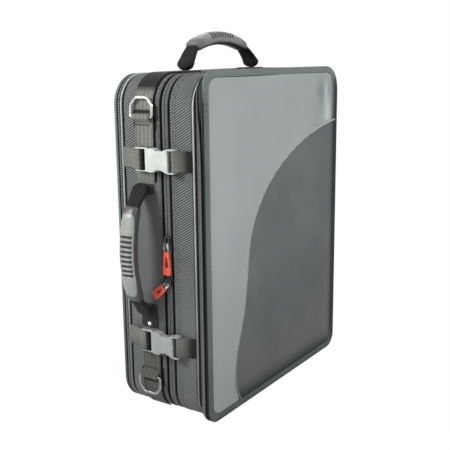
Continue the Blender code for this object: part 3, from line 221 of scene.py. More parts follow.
def smoothPiece(piece, degrees=40):
    chooseOnly(piece)
    bpy.ops.object.shade_smooth_by_angle(angle=math.radians(degrees))


def paintPiece(piece, finish, degrees):
    smoothPiece(piece, degrees)
    piece.data.materials.clear()
    piece.data.materials.append(finish)


def settle(piece, body, finish, replaces=(), degrees=40):
    # smooths and paints a finished piece and lets it ride on its body
    paintPiece(piece, finish, degrees)
    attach(piece, body)
    if replaces:
        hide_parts(*replaces)


def markPoints(piece, name, valueAt):
    # keeps valueAt(point) as an attribute that the paint reads
    layer = piece.data.attributes.new(name, "FLOAT", "POINT")
    for vert, mark in zip(piece.data.vertices, layer.data):
        mark.value = valueAt(vert)


def patternLayer(piece):
    # the UV map that the woven finishes read
    layer = piece.data.uv_layers.get("pattern") or piece.data.uv_layers.new(name="pattern")
    piece.data.uv_layers.active = layer
    layer.active_render = True
    return layer


def setUv(piece, wanted):
    # wanted(place) gives the pattern's two coordinates in metres at a point
    layer = patternLayer(piece)
    places = [wanted(vert.co) for vert in piece.data.vertices]
    for face in piece.data.polygons:
        corners = [places[vert] for vert in face.vertices]
        low = min(corner[0] for corner in corners)
        for loop, (along, across) in zip(face.loop_indices, corners):
            if along - low > outlineLength() / 2:
                along -= outlineLength()
            layer.data[loop].uv = (along, across)


# The outline that the layers of the case follow
caseShape = {"width": 0.323, "height": 0.410, "corner": 0.036, "tightest": 0.006, "cornerSteps": 12}


def outlineLength():
    straight = 2 * (caseShape["width"] + caseShape["height"] - 4 * caseShape["corner"])
    return straight + 2 * math.pi * caseShape["corner"]


def outlinePlace(distance):
    # the point and the outward direction at a distance along the outline, from the middle of
    # the left wall's lower corner upwards, over the top and round by the right
    radius = caseShape["corner"]
    halfWidth = caseShape["width"] / 2
    height = caseShape["height"]
    distance = distance % outlineLength()
    runs = [(height - 2 * radius, Vector((-halfWidth, 0, radius)), Vector((0, 0, 1)), Vector((-1, 0, 0))),
            (caseShape["width"] - 2 * radius, Vector((-halfWidth + radius, 0, height)), Vector((1, 0, 0)),
             Vector((0, 0, 1))),
            (height - 2 * radius, Vector((halfWidth, 0, height - radius)), Vector((0, 0, -1)),
             Vector((1, 0, 0))),
            (caseShape["width"] - 2 * radius, Vector((halfWidth - radius, 0, 0)), Vector((-1, 0, 0)),
             Vector((0, 0, -1)))]
    bend = math.pi / 2 * radius
    for run, start, along, out in runs:
        if distance <= run:
            return start + along * distance, out
        distance -= run
        if distance <= bend:
            turn = distance / radius
            middle = start + along * run - out * radius
            out = out * math.cos(turn) + along * math.sin(turn)
            return middle + out * radius, out
        distance -= bend
    return runs[0][1], runs[0][3]


def outlineReading(place):
    # distance along the outline and depth inside it, for any point near the walls
    radius = caseShape["corner"]
    halfWidth = caseShape["width"] / 2
    height = caseShape["height"]
    rise = height - 2 * radius
    span = caseShape["width"] - 2 * radius
    bend = math.pi / 2 * radius
    x, z = place.x, place.z
    sideX = max(abs(x) - (halfWidth - radius), 0)
    sideZ = max(abs(z - height / 2) - (height / 2 - radius), 0)
    if sideX > 0 and sideZ > 0:
        depth = radius - math.hypot(sideX, sideZ)
        if x < 0 and z > height / 2:
            return rise + radius * math.atan2(sideZ, sideX), depth
        if x > 0 and z > height / 2:
            return rise + bend + span + radius * math.atan2(sideX, sideZ), depth
        if x > 0:
            return 2 * rise + 2 * bend + span + radius * math.atan2(sideZ, sideX), depth
        return 2 * (rise + span) + 3 * bend + radius * math.atan2(sideX, sideZ), depth
    depthX = halfWidth - abs(x)
    depthZ = height / 2 - abs(z - height / 2)
    if depthX <= depthZ:
        if x < 0:
            return min(max(z - radius, 0), rise), depthX
        return rise + 2 * bend + span + min(max(height - radius - z, 0), rise), depthX
    if z > height / 2:
        return rise + bend + min(max(x + halfWidth - radius, 0), span), depthZ
    return 2 * rise + 3 * bend + span + min(max(halfWidth - radius - x, 0), span), depthZ


def clothUv(place):
    along, depth = outlineReading(place)
    return along, place.y + (depth if place.y > 0 else -depth)


def addOutline(y, inset):
    # one more loop of edges round the case, at its own depth and inset
    middle = (0, y, caseShape["height"] / 2)
    bpy.ops.mesh.select_all(action="DESELECT")
    bpy.ops.mesh.primitive_plane_add(size=1, location=middle, rotation=(math.pi / 2, 0, 0))
    bpy.ops.transform.resize(value=(caseShape["width"] - 2 * inset, 1, caseShape["height"] - 2 * inset),
                             center_override=middle)
    bpy.ops.mesh.bevel(offset=max(caseShape["corner"] - inset, caseShape["tightest"]),
                       segments=caseShape["cornerSteps"], affect="VERTICES")
    bpy.ops.mesh.delete(type="ONLY_FACE")


def layerPiece(name, profile, caps="", closed=False):
    # loops over (depth, inset from the wall), bridged in turn; caps names the filled ends
    piece = newPiece(name, bpy.ops.mesh.primitive_plane_add, size=1, location=(0, 0, 0))
    editMode()
    bpy.ops.mesh.select_all(action="SELECT")
    bpy.ops.mesh.delete(type="VERT")
    for y, inset in profile:
        addOutline(y, inset)
    each = 4 * (caseShape["cornerSteps"] + 1)
    build = bmesh.from_edit_mesh(piece.data)
    build.verts.ensure_lookup_table()
    loops = []
    for first in range(0, len(build.verts), each):
        loop = [build.verts[first + step] for step in range(each)]
        loop.sort(key=lambda vert: math.atan2(vert.co.z - caseShape["height"] / 2, vert.co.x))
        loops.append(loop)
    pairs = list(zip(loops, loops[1:])) + ([(loops[-1], loops[0])] if closed else [])
    for near, far in pairs:  # coplanar loops are joined by hand, as the bridge tool twists them
        for here in range(each):
            after = (here + 1) % each
            build.faces.new((near[here], near[after], far[after], far[here]))
    for end, loop in (("first", loops[0]), ("last", loops[-1])):
        if end in caps:
            build.faces.new(loop)
    bmesh.update_edit_mesh(piece.data)
    bpy.ops.mesh.select_all(action="SELECT")
    bpy.ops.mesh.normals_make_consistent(inside=False)
    objectMode()
    return piece


frontCorner = {"radius": 0.019, "topRight": 0.034, "share": 0.16, "from": -0.0480, "over": 0.010}


def squareCorners(piece):
    # the front's layers turn their corners more tightly than the rest of the case
    wide, high, radius = caseShape["width"] / 2, caseShape["height"] / 2, caseShape["corner"]
    for vert in piece.data.vertices:
        tight = frontCorner["topRight" if vert.co.x > 0 and vert.co.z > high else "radius"]
        share = frontCorner["share"] * (radius - tight) / (radius - frontCorner["radius"])
        opening = math.atan2(radius - tight, radius)
        forward = smoothShare((frontCorner["from"] - vert.co.y) / frontCorner["over"])
        sideX = abs(vert.co.x) - (wide - radius)
        sideZ = abs(vert.co.z - high) - (high - radius)
        if forward <= 0 or sideX <= 0 or sideZ <= 0:
            continue
        reach = math.hypot(sideX, sideZ)
        turn = math.atan2(sideZ, sideX) / (math.pi / 2)
        if turn < share:
            spot = opening * turn / share
        elif turn > 1 - share:
            spot = math.pi / 2 - opening * (1 - turn) / share
        else:
            spot = opening + (math.pi / 2 - 2 * opening) * (turn - share) / (1 - 2 * share)
        if spot <= opening:
            out = radius / math.cos(spot)
        elif spot >= math.pi / 2 - opening:
            out = radius / math.sin(spot)
        else:
            middle = radius - tight
            out = (middle * (math.cos(spot) + math.sin(spot))
                   + math.sqrt(tight ** 2 - middle ** 2 * (1 - math.sin(2 * spot))))
        newX, newZ = math.cos(spot) * out * reach / radius, math.sin(spot) * out * reach / radius
        vert.co.x += math.copysign((newX - sideX) * forward, vert.co.x)
        vert.co.z += math.copysign((newZ - sideZ) * forward, vert.co.z - high)


frontLift = {"from": -0.0609, "over": 0.0018, "rise": 0.0035, "fall": 0.0099, "low": 0.345, "high": 0.402,
             "wave": 0.0003, "waveLength": 0.028, "waveStart": 0.6, "stretch": 0.0013, "band": 0.0095,
             "fade": 0.035, "flatFrom": -0.0600, "flatOver": 0.003}
seamReach = {"share": 0.16, "depth": 0.003}


def smoothShare(value):
    value = min(max(value, 0), 1)
    return value * value * (3 - 2 * value)


def liftFront(piece):
    # the soft front layers bulge a little over the top edge, where the case is fullest, and
    # the front itself stands a little outside the walls
    squareCorners(piece)
    for vert in piece.data.vertices:
        forward = smoothShare((frontLift["from"] - vert.co.y) / frontLift["over"])
        up = smoothShare((vert.co.z - frontLift["low"]) / (frontLift["high"] - frontLift["low"]))
        rise = frontLift["rise"] - frontLift["fall"] * vert.co.x
        rise += frontLift["wave"] * math.sin(vert.co.x / frontLift["waveLength"] + frontLift["waveStart"])
        depth = caseShape["height"] - vert.co.z
        edge = min(max(depth / frontLift["band"], 0), 1)
        edge *= 1 - smoothShare((depth - frontLift["band"]) / frontLift["fade"])
        flat = smoothShare((frontLift["flatFrom"] - vert.co.y) / frontLift["flatOver"])
        vert.co.z += forward * up * rise + flat * edge * frontLift["stretch"]


def shadeSeams(piece, seat, rise):
    # 1 down in the seam beside the wall, 0 on the tape
    def seamAt(vert):
        if outlineReading(vert.co)[1] >= seamReach["depth"]:
            return 0
        return 1 - smoothShare((vert.co.y - seat) / rise / seamReach["share"])
    markPoints(piece, "seamShade", seamAt)


makeCamera()
makeFloor()
makeRoom()
makeLamps()
print("camera, floor and light are set")


# Finishes
def tone(red, green, blue):
    # the linear colour of an 8-bit screen colour
    linear = []
    for value in (red, green, blue):
        share = value / 255
        linear.append(share / 12.92 if share <= 0.04045 else ((share + 0.055) / 1.055) ** 2.4)
    return (*linear, 1)


finishBase = {"sheenRoughness": 0.4, "coatRoughness": 0.15, "clothFrom": 0.6, "clothSpecular": 0.14}


def newFinish(name, roughness, metallic=0.0, sheen=0.0, coat=0.0):
    finish = bpy.data.materials.new(name)
    finish.use_nodes = True
    shader = finish.node_tree.nodes["Principled BSDF"]
    settings = {"Roughness": roughness, "Metallic": metallic, "Sheen Weight": sheen, "Coat Weight": coat,
                "Sheen Roughness": finishBase["sheenRoughness"],
                "Coat Roughness": finishBase["coatRoughness"]}
    if roughness >= finishBase["clothFrom"] and metallic == 0:
        settings["Specular IOR Level"] = finishBase["clothSpecular"]
    for socket, value in settings.items():
        shader.inputs[socket].default_value = value
    return finish


def plug(finish, output, socket):
    shader = finish.node_tree.nodes["Principled BSDF"]
    finish.node_tree.links.new(output, shader.inputs[socket])


def patternSpace(finish, source="UV", turn=0.0, stretch=(1, 1, 1)):
    places = addNode(finish, "TexCoord")
    turned = addNode(finish, "Mapping", {"Vector": places.outputs[source],
                                         "Rotation": (0, 0, turn), "Scale": stretch})
    return turned.outputs[0]


def ribs(finish, space, pitch, direction="X", distortion=0.0, shape="SIN"):
    # stripes of one pitch in metres
    wave = addNode(finish, "TexWave", {"Vector": space, "Scale": math.pi / 10 / pitch,
                                       "Distortion": distortion, "Detail": 1.0, "Detail Scale": 1.5},
                   bands_direction=direction, wave_profile=shape)
    return wave.outputs["Fac"]


def grain(finish, space, size, detail=3.0, roughness=0.55):
    noise = addNode(finish, "TexNoise", {"Vector": space, "Scale": 1 / size, "Detail": detail,
                                         "Roughness": roughness})
    return noise.outputs["Fac"]


def times(finish, first, second):
    return mathOf(finish, "MULTIPLY", first, second)


def most(finish, first, second):
    return mathOf(finish, "MAXIMUM", first, second)


def least(finish, first, second):
    return mathOf(finish, "MINIMUM", first, second)


def mixValues(finish, first, share, second):
    # a share of the first value and the rest of the second
    return mathOf(finish, "ADD", times(finish, first, share), times(finish, second, 1 - share))


def placeParts(finish, source="Object"):
    return addNode(finish, "SeparateXYZ", {0: patternSpace(finish, source)}).outputs


def attributeOf(finish, name):
    return addNode(finish, "Attribute", attribute_name=name).outputs["Fac"]


def ramp(finish, fac, low, high, start=0.0, end=1.0):
    made = addNode(finish, "ValToRGB", {"Fac": fac})
    made.color_ramp.elements[0].position = start
    made.color_ramp.elements[0].color = low
    made.color_ramp.elements[1].position = end
    made.color_ramp.elements[1].color = high
    return made.outputs[0]


def mixColor(finish, fac, first, second, how="MIX"):
    made = addNode(finish, "Mix", {0: fac, 6: first, 7: second}, data_type="RGBA", blend_type=how)
    return made.outputs[2]


def tint(finish, color, other, share=1.0):
    return mixColor(finish, share, color, other, "MULTIPLY")


def grey(value):
    return (value, value, value, 1)


def clouded(finish, color, cloud):
    # large soft patches, lighter and darker
    patches = grain(finish, patternSpace(finish, "Object"), cloud["size"], cloud["detail"])
    return tint(finish, color, ramp(finish, patches, cloud["low"], cloud["high"], cloud["start"],
                                    cloud["end"]))


def inSeams(finish, color):
    # darkens the cloth where the piece's seamShade says that it turns into a seam
    return mixColor(finish, attributeOf(finish, "seamShade"), color, tone(13, 14, 14))


def span(finish, value, low, high, newLow=0.0, newHigh=1.0):
    made = addNode(finish, "MapRange", {"Value": value, "From Min": low, "From Max": high,
                                        "To Min": newLow, "To Max": newHigh})
    return made.outputs[0]


def bump(finish, height, distance, strength=1.0):
    made = addNode(finish, "Bump", {"Height": height, "Distance": distance, "Strength": strength})
    plug(finish, made.outputs[0], "Normal")


def stripe(finish, value, middle, inner, outer):
    # 1 up to inner from the middle, 0 past outer
    off = mathOf(finish, "ABSOLUTE", mathOf(finish, "SUBTRACT", value, middle))
    return span(finish, off, outer, inner)


def window(finish, value, low, high, soft):
    # 1 between low and high
    return least(finish, span(finish, value, low - soft, low + soft),
                 span(finish, value, high + soft, high - soft))


# the look's seam colour is the painted shade in the grooves and the painted shadows on the left wall
wallCloth = {"low": tone(43, 46, 46), "high": tone(153, 157, 154), "rampStart": 0.22, "rampEnd": 0.78,
             "ribPitch": 0.0026, "ribTurn": 30, "yarnPitch": 0.00085, "weftShare": 1.15, "ribShare": 0.62,
             "weaveShare": 0.72, "calmHeight": 0.42, "fleck": 0.0016, "relief": 0.00042,
             "seam": tone(7, 8, 8), "cloud": {"size": 0.035, "detail": 4, "low": (0.86, 0.87, 0.87, 1),
                       "high": (1.06, 1.06, 1.05, 1),
                       "start": 0.3, "end": 0.72}}
# painted shade in the grooves between the layers of the wall: middle depth and half width
seamShadeBands = [(-0.0046, 0.0014), (-0.0174, 0.0014), (-0.0529, 0.0021), (0.0505, 0.0017), (0.0601, 0.0013)]
seamSoft = 0.00025
seamPlaces = {"leftWall": (-0.1, -0.12), "aside": (0.146, 0.148), "above": (0.394, 0.396),
              "below": (0.016, 0.014)}
# painted shade along the seam beside the front binding, moving back a little near the top
wanderingSeamShade = {"low": -0.0607, "shift": 0.0032, "start": 0.315, "end": 0.390, "half": 0.0013,
                 "fade": (-0.118, -0.138)}
calmCloth = {"depth": (-0.004, 0.040), "depthSoft": 0.006, "high": 0.296, "highSoft": 0.004, "low": 0.165,
             "lowSoft": 0.02, "wall": (-0.155, -0.16), "front": (-0.0500, -0.0510), "share": 0.90}
webbingShade = {"y": 0.0040, "inner": 0.0014, "outer": 0.0020, "above": 0.288, "below": 0.076, "soft": 0.001}
shadowLook = {"share": 0.93, "depthSoft": 0.0006, "heightSoft": 0.0008}
shadowPatches = [(0.0180, 0.0262, 0.3035, 0.3265), (-0.0265, -0.0185, 0.3035, 0.3265),
                 (0.0180, 0.0262, 0.0835, 0.1065), (-0.0265, -0.0185, 0.0835, 0.1065),
                 (0.0316, 0.0350, 0.3510, 0.3700), (0.0008, 0.0050, 0.3470, 0.3740),
                 (0.0316, 0.0350, 0.0400, 0.0560), (0.0008, 0.0050, 0.0360, 0.0600)]


def seamShadeShare(finish, x, depth, height):
    # painted shade: 1 in the grooves where the layers of the wall meet, on the walls and not on the front or
    # back
    up = addNode(finish, "MapRange", {"Value": height, "From Min": wanderingSeamShade["start"],
                                      "From Max": wanderingSeamShade["end"], "To Max": wanderingSeamShade["shift"]},
                 interpolation_type="SMOOTHSTEP").outputs[0]
    middle = mathOf(finish, "ADD", up, wanderingSeamShade["low"])
    half = wanderingSeamShade["half"]
    dark = times(finish, stripe(finish, depth, middle, half - seamSoft, half + seamSoft),
                 span(finish, x, *wanderingSeamShade["fade"]))
    for middle, half in seamShadeBands:
        dark = most(finish, dark, stripe(finish, depth, middle, half - seamSoft, half + seamSoft))
    aside = span(finish, mathOf(finish, "ABSOLUTE", x), *seamPlaces["aside"])
    above = most(finish, span(finish, height, *seamPlaces["above"]),
                 span(finish, height, *seamPlaces["below"]))
    return times(finish, dark, most(finish, aside, above))


def shadowShare(finish, x, depth, height):
    # dim places on the left wall: beside the webbing, behind the buckles and beside the rings
    line = stripe(finish, depth, webbingShade["y"], webbingShade["inner"], webbingShade["outer"])
    away = most(finish, span(finish, height, webbingShade["above"],
                             webbingShade["above"] + webbingShade["soft"]),
                span(finish, height, webbingShade["below"], webbingShade["below"] - webbingShade["soft"]))
    dark = times(finish, line, away)
    for near, far, low, high in shadowPatches:
        patch = times(finish, window(finish, depth, near, far, shadowLook["depthSoft"]),
                      window(finish, height, low, high, shadowLook["heightSoft"]))
        dark = most(finish, dark, times(finish, patch, shadowLook["share"]))
    return times(finish, dark, span(finish, x, *seamPlaces["leftWall"]))


def paintedWallShade(finish, color, look=wallCloth):
    # painted shade in the grooves between the layers, and painted shadows on the left wall
    x, depth, height = placeParts(finish)
    dark = most(finish, seamShadeShare(finish, x, depth, height), shadowShare(finish, x, depth, height))
    return mixColor(finish, dark, color, look["seam"])


def calmShare(finish):
    # 1 where the cloth shows its ribs, less where the ribs fade: low down, by the side handle
    # and in the fold beside the front
    x, depth, height = placeParts(finish)
    soft = calmCloth["lowSoft"]
    low = span(finish, height, calmCloth["low"] - soft, calmCloth["low"] + 3 * soft)
    soft = calmCloth["highSoft"]
    under = span(finish, height, calmCloth["high"] + soft, calmCloth["high"] - soft)
    left = span(finish, x, *calmCloth["wall"])
    nearest, farthest = calmCloth["depth"]
    near = span(finish, depth, nearest, nearest + calmCloth["depthSoft"])
    far = span(finish, depth, farthest, farthest - calmCloth["depthSoft"])
    patch = times(finish, times(finish, under, left), times(finish, near, far))
    calm = most(finish, mathOf(finish, "SUBTRACT", 1.0, low), patch)
    calm = most(finish, calm, span(finish, depth, *calmCloth["front"]))
    return mathOf(finish, "SUBTRACT", 1.0, times(finish, calm, calmCloth["share"]))


def makeWallCloth(name="wallCloth", look=wallCloth):
    # ribbed nylon with a fine yarn across the ribs
    finish = newFinish(name, 0.8, sheen=0.03)
    turned = patternSpace(finish, turn=math.radians(-look["ribTurn"]))
    plain = patternSpace(finish)
    rib = ribs(finish, turned, look["ribPitch"], distortion=0.9)
    warp = ribs(finish, plain, look["yarnPitch"], "X", 0.4)
    weft = ribs(finish, plain, look["yarnPitch"] * look["weftShare"], "Y", 0.4)
    fleck = grain(finish, plain, look["fleck"], 2)
    height = mixValues(finish, rib, look["ribShare"], times(finish, warp, weft))
    rise = times(finish, mathOf(finish, "SUBTRACT", height, look["calmHeight"]), calmShare(finish))
    height = mathOf(finish, "ADD", rise, look["calmHeight"])
    shade = mixValues(finish, height, look["weaveShare"], fleck)
    color = ramp(finish, shade, look["low"], look["high"], look["rampStart"], look["rampEnd"])
    # the ribbed colour with the painted seam shade and painted shadows laid over it
    plug(finish, paintedWallShade(finish, clouded(finish, color, look["cloud"])), "Base Color")
    plug(finish, span(finish, fleck, 0.3, 0.7, 0.70, 0.86), "Roughness")
    bump(finish, height, look["relief"], 0.85)
    return finish


# darkTone is the colour of the tape's painted shade
tapeLook = {"low": tone(84, 93, 89), "high": tone(142, 153, 149), "ribPitch": 0.00125, "threadPitch": 0.0007,
            "ribShare": 0.75, "weaveShare": 0.45, "fleck": 0.002, "relief": 0.00022,
            "darkTone": tone(22, 24, 24),
            "cloud": {"size": 0.05, "detail": 4, "low": (0.88, 0.89, 0.89, 1), "high": (1.1, 1.1, 1.09, 1),
                      "start": 0.32, "end": 0.7}}
# where the tape's painted shade falls, and how strong it is
tapeShade = {"right": (0.146, 0.154), "rightDepth": (0.03, 0.0), "rightShare": 0.92,
             "under": (0.0062, 0.0040), "underShare": 0.75, "low": (0.26, 0.01), "lowShare": 0.55,
             "left": (-0.150, -0.156), "leftTop": (0.398, 0.378), "foldFront": (-0.0652, -0.0646),
             "foldBack": (-0.058, -0.060), "foldShare": 0.95, "nearFront": (-0.04, -0.05), "nearShare": 0.22}


def tapeShadeShare(finish):
    # painted shade on the tape: on the right where it turns away from the light, under the case, low down and
    # in its fold at the left
    x, y, z = placeParts(finish)
    right = times(finish, span(finish, x, *tapeShade["right"]), span(finish, y, *tapeShade["rightDepth"]))
    under = times(finish, span(finish, z, *tapeShade["under"]), tapeShade["underShare"])
    low = span(finish, z, *tapeShade["low"], 0.0, tapeShade["lowShare"])
    shadedTape = most(finish, times(finish, right, tapeShade["rightShare"]), most(finish, under, low))
    left = times(finish, span(finish, x, *tapeShade["left"]), span(finish, z, *tapeShade["leftTop"]))
    fold = times(finish, span(finish, y, *tapeShade["foldFront"]), span(finish, y, *tapeShade["foldBack"]))
    fold = most(finish, times(finish, fold, tapeShade["foldShare"]),
                span(finish, y, *tapeShade["nearFront"], 0.0, tapeShade["nearShare"]))
    return most(finish, shadedTape, times(finish, fold, left))


def makeTape(name="tapeCloth", look=tapeLook, source="UV"):
    # grosgrain tape: fine ribs across its run, small flecks, and painted shade on the right, underneath, low
    # down, in its fold at the left and in its seams
    finish = newFinish(name, 0.66, sheen=0.04)
    flat = patternSpace(finish, source)
    rib = ribs(finish, flat, look["ribPitch"], "X", 0.35)
    thread = ribs(finish, flat, look["threadPitch"], "Y", 0.5)
    fleck = grain(finish, flat, look["fleck"], 2)
    height = mixValues(finish, rib, look["ribShare"], thread)
    shade = mixValues(finish, height, look["weaveShare"], fleck)
    color = clouded(finish, ramp(finish, shade, look["low"], look["high"], 0.2, 0.8), look["cloud"])
    plug(finish, inSeams(finish, mixColor(finish, tapeShadeShare(finish), color, look["darkTone"])), "Base Color")
    bump(finish, height, look["relief"], 0.8)
    return finish


cordLook = {"low": tone(150, 156, 152), "high": tone(206, 211, 207), "twist": 0.0022, "slant": 38,
            "patch": 0.03,
            "weaveShare": 0.3, "relief": 0.00016, "dimRun": (0.30, 0.05), "dim": (0.40, 0.41, 0.41, 1)}


def makeCordCloth(name="cordCloth", look=cordLook):
    # piping: smooth covered cord with the faint slant of its cover, and painted shade that dims it towards
    # the bottom
    finish = newFinish(name, 0.42, sheen=0.1, coat=0.15)
    slant = patternSpace(finish, turn=math.radians(look["slant"]))
    weave = ribs(finish, slant, look["twist"] / 2, "X", 0.6)
    patch = grain(finish, patternSpace(finish, "Object"), look["patch"], 3)
    shade = mixValues(finish, weave, look["weaveShare"], patch)
    dim = ramp(finish, span(finish, placeParts(finish)[2], *look["dimRun"]), grey(1), look["dim"])
    plug(finish, tint(finish, ramp(finish, shade, look["low"], look["high"], 0.25, 0.75), dim), "Base Color")
    bump(finish, weave, look["relief"], 0.6)
    return finish


lightSkinLook = {"low": tone(146, 152, 151), "high": tone(162, 168, 166), "roughness": 0.5, "woven": False,
                 "relief": 0.00010}
darkSkinLook = {"low": tone(94, 98, 98), "high": tone(124, 128, 126), "roughness": 0.72, "woven": True,
                "relief": 0.00016}
# edge is the colour of the painted shade where the skin dips under the binding; dim is painted shade towards
# the bottom
skinPattern = {"pebble": 0.0011, "weave": 0.0010, "fleck": 0.0022, "cloud": 0.09, "fleckShare": 0.45,
               "weaveShare": 0.5, "weaveLow": 0.72, "weaveHigh": 1.2, "gleamLow": 0.45, "gleamHigh": 1.55,
               "edge": tone(20, 23, 23), "dimRun": (0.25, 0.02), "dim": (0.80, 0.79, 0.79, 1)}


def makeSkin(name, look):
    # front skin: a calm coated cloth with a pinhead grain, or the plain weave of the dark one
    roughness, woven = look["roughness"], look["woven"]
    finish = newFinish(name, roughness, sheen=0.02, coat=0.0 if woven else 0.08)
    x, _, z = placeParts(finish)
    front = addNode(finish, "CombineXYZ", {0: x, 1: z}).outputs[0]
    fleck = grain(finish, front, skinPattern["fleck"], 3)
    cloudy = grain(finish, patternSpace(finish, "Object"), skinPattern["cloud"], 3)
    shade = mixValues(finish, fleck, skinPattern["fleckShare"], cloudy)
    color = ramp(finish, shade, look["low"], look["high"], 0.28, 0.72)
    if woven:
        height = times(finish, ribs(finish, front, skinPattern["weave"], "X", 0.3),
                       ribs(finish, front, skinPattern["weave"], "Y", 0.3))
        threads = ramp(finish, height, grey(skinPattern["weaveLow"]), grey(skinPattern["weaveHigh"]))
        color = tint(finish, color, threads, skinPattern["weaveShare"])
    else:
        height = addNode(finish, "TexVoronoi", {"Vector": front, "Scale": 1 / skinPattern["pebble"],
                                                "Randomness": 0.9}, distance="EUCLIDEAN").outputs["Distance"]
        # painted highlights and painted shade over the creases of the light skin
        gleam = ramp(finish, attributeOf(finish, "gleamShade"), grey(skinPattern["gleamLow"]),
                     grey(skinPattern["gleamHigh"]))
        color = tint(finish, color, gleam)
    # painted shade where the skin dips under the binding
    color = mixColor(finish, attributeOf(finish, "edgeShade"), color, skinPattern["edge"])
    # painted shade: darker towards the bottom
    dim = ramp(finish, span(finish, z, *skinPattern["dimRun"]), grey(1), skinPattern["dim"])
    plug(finish, tint(finish, color, dim), "Base Color")
    plug(finish, span(finish, fleck, 0.3, 0.7, roughness - 0.06, roughness + 0.06), "Roughness")
    bump(finish, height, look["relief"], 0.55)
    return finish


# dark is the colour of the painted shade in the slit and at the tape's edges
zipLook = {"dark": tone(7, 8, 8), "low": tone(70, 74, 73), "high": tone(122, 126, 124), "coilPitch": 0.00165,
           "middle": -0.0108, "coilHalf": (0.0032, 0.0026), "bandHalf": (0.0039, 0.0042),
           "slitHalf": (0.0005, 0.0002), "slitShare": 0.7, "warp": 0.0008, "weft": 0.0009, "coilShare": 0.7,
           "fleck": 0.0018, "weaveShare": 0.5, "relief": 0.00035}


def makeZipCloth(name="zipCloth", look=zipLook):
    # tape over a hidden coil: the coil shows through as short ribs either side of the slit, and painted
    # shade darkens the slit and the edges of the tape where they run under the folds
    finish = newFinish(name, 0.62, sheen=0.03)
    flat = patternSpace(finish)
    off = mathOf(finish, "ABSOLUTE", mathOf(finish, "SUBTRACT", placeParts(finish)[1], look["middle"]))
    coil = times(finish, ribs(finish, flat, look["coilPitch"], "X", 0.3),
                 span(finish, off, *look["coilHalf"]))
    weave = times(finish, ribs(finish, flat, look["warp"], "X", 0.4),
                  ribs(finish, flat, look["weft"], "Y", 0.4))
    height = mixValues(finish, coil, look["coilShare"], weave)
    shade = mixValues(finish, height, look["weaveShare"], grain(finish, flat, look["fleck"], 2))
    color = ramp(finish, shade, look["low"], look["high"], 0.15, 0.75)
    inside = span(finish, off, *look["bandHalf"])
    slit = span(finish, off, *look["slitHalf"], 0.0, look["slitShare"])
    plug(finish, mixColor(finish, most(finish, inside, slit), color, look["dark"]), "Base Color")
    bump(finish, height, look["relief"], 0.8)
    return finish


threadLook = {"low": tone(18, 19, 19), "high": tone(40, 42, 41), "fine": 0.0006, "twist": 0.0005,
              "relief": 0.00008}


def makeThread(name="thread", look=threadLook):
    finish = newFinish(name, 0.55, sheen=0.05)
    flat = patternSpace(finish, "Object")
    plug(finish, ramp(finish, grain(finish, flat, look["fine"], 2), look["low"], look["high"], 0.3, 0.7),
         "Base Color")
    bump(finish, ribs(finish, flat, look["twist"], "DIAGONAL", 0.5), look["relief"], 0.7)
    return finish


clothFinish = makeWallCloth()
tapeFinish = makeTape()
cordFinish = makeCordCloth()
lightFinish = makeSkin("lightSkinCloth", lightSkinLook)
darkFinish = makeSkin("darkSkinCloth", darkSkinLook)
zipFinish = makeZipCloth()
threadFinish = makeThread()
print("cloth finishes are made")


# Walls of the case
wallLayers = {
    "backCover": {"body": "back_half", "node": "back_shell", "slot": "ballistic_fabric", "caps": "first last",
                  "profile": [(0.0600, 0.0070), (0.0600, 0.0026), (0.0595, 0.0014), (0.0588, 0.0004),
                              (0.0580, 0), (0.0567, 0), (0.0561, 0.0003), (0.0557, 0.0012), (0.0556, 0.0029),
                              (0.0524, 0.0029), (0.0520, 0.0020), (0.0514, 0.0009), (0.0507, 0.0002),
                              (0.0498, 0), (0.0400, 0), (0.0200, 0), (0.0076, 0), (0.0020, 0), (-0.0028, 0),
                              (-0.0038, 0.0003), (-0.0045, 0.0011), (-0.0050, 0.0022), (-0.01035, 0.0022),
                              (-0.01035, 0.0070), (0.0540, 0.0070)]},
    "lidCover": {"body": "lid", "node": "lid_shell", "slot": "ballistic_fabric", "caps": "first last",
                 "profile": [(-0.0470, 0.0070), (-0.01065, 0.0070), (-0.01065, 0.0022), (-0.0160, 0.0022),
                             (-0.0165, 0.0011), (-0.0172, 0.0003), (-0.0182, 0), (-0.0250, 0), (-0.0360, 0),
                             (-0.0466, 0), (-0.0473, 0.0002), (-0.0479, 0.0010), (-0.0481, 0.0029),
                             (-0.0513, 0.0029)]},
    "pocketSide": {"body": "lid", "node": "pocket_wall", "slot": "ballistic_fabric", "closed": True,
                   "profile": [(-0.0516, 0.0026), (-0.0520, 0.0021), (-0.0526, 0.0010), (-0.0532, 0.0002),
                               (-0.0540, 0), (-0.0562, 0), (-0.0564, 0.0002), (-0.0564, 0.0028),
                               (-0.0530, 0.0030), (-0.0530, 0.0070), (-0.0516, 0.0070)]},
    "pocketFlap": {"body": "pocket", "node": "pocket_gusset", "slot": "ballistic_fabric", "closed": True,
                   "profile": [(-0.0567, 0.0028), (-0.0567, 0.0002), (-0.0569, 0), (-0.0586, 0),
                               (-0.0592, 0.0003), (-0.0597, 0.0011), (-0.0602, 0.0019), (-0.0607, 0.0019),
                               (-0.0611, 0.0010), (-0.0615, 0.0003), (-0.0618, 0.0003), (-0.0623, 0.0012),
                               (-0.0623, 0.0070), (-0.0609, 0.0070), (-0.0609, 0.0030)]},
}
bindings = {
    "frontBound": {"body": "pocket", "node": "front_binding", "seat": -0.0626, "crest": -0.0663,
                   "width": 0.0095},
    "backBound": {"body": "back_half", "node": "back_binding", "seat": 0.0603, "crest": 0.0660,
                  "width": 0.0095},
}
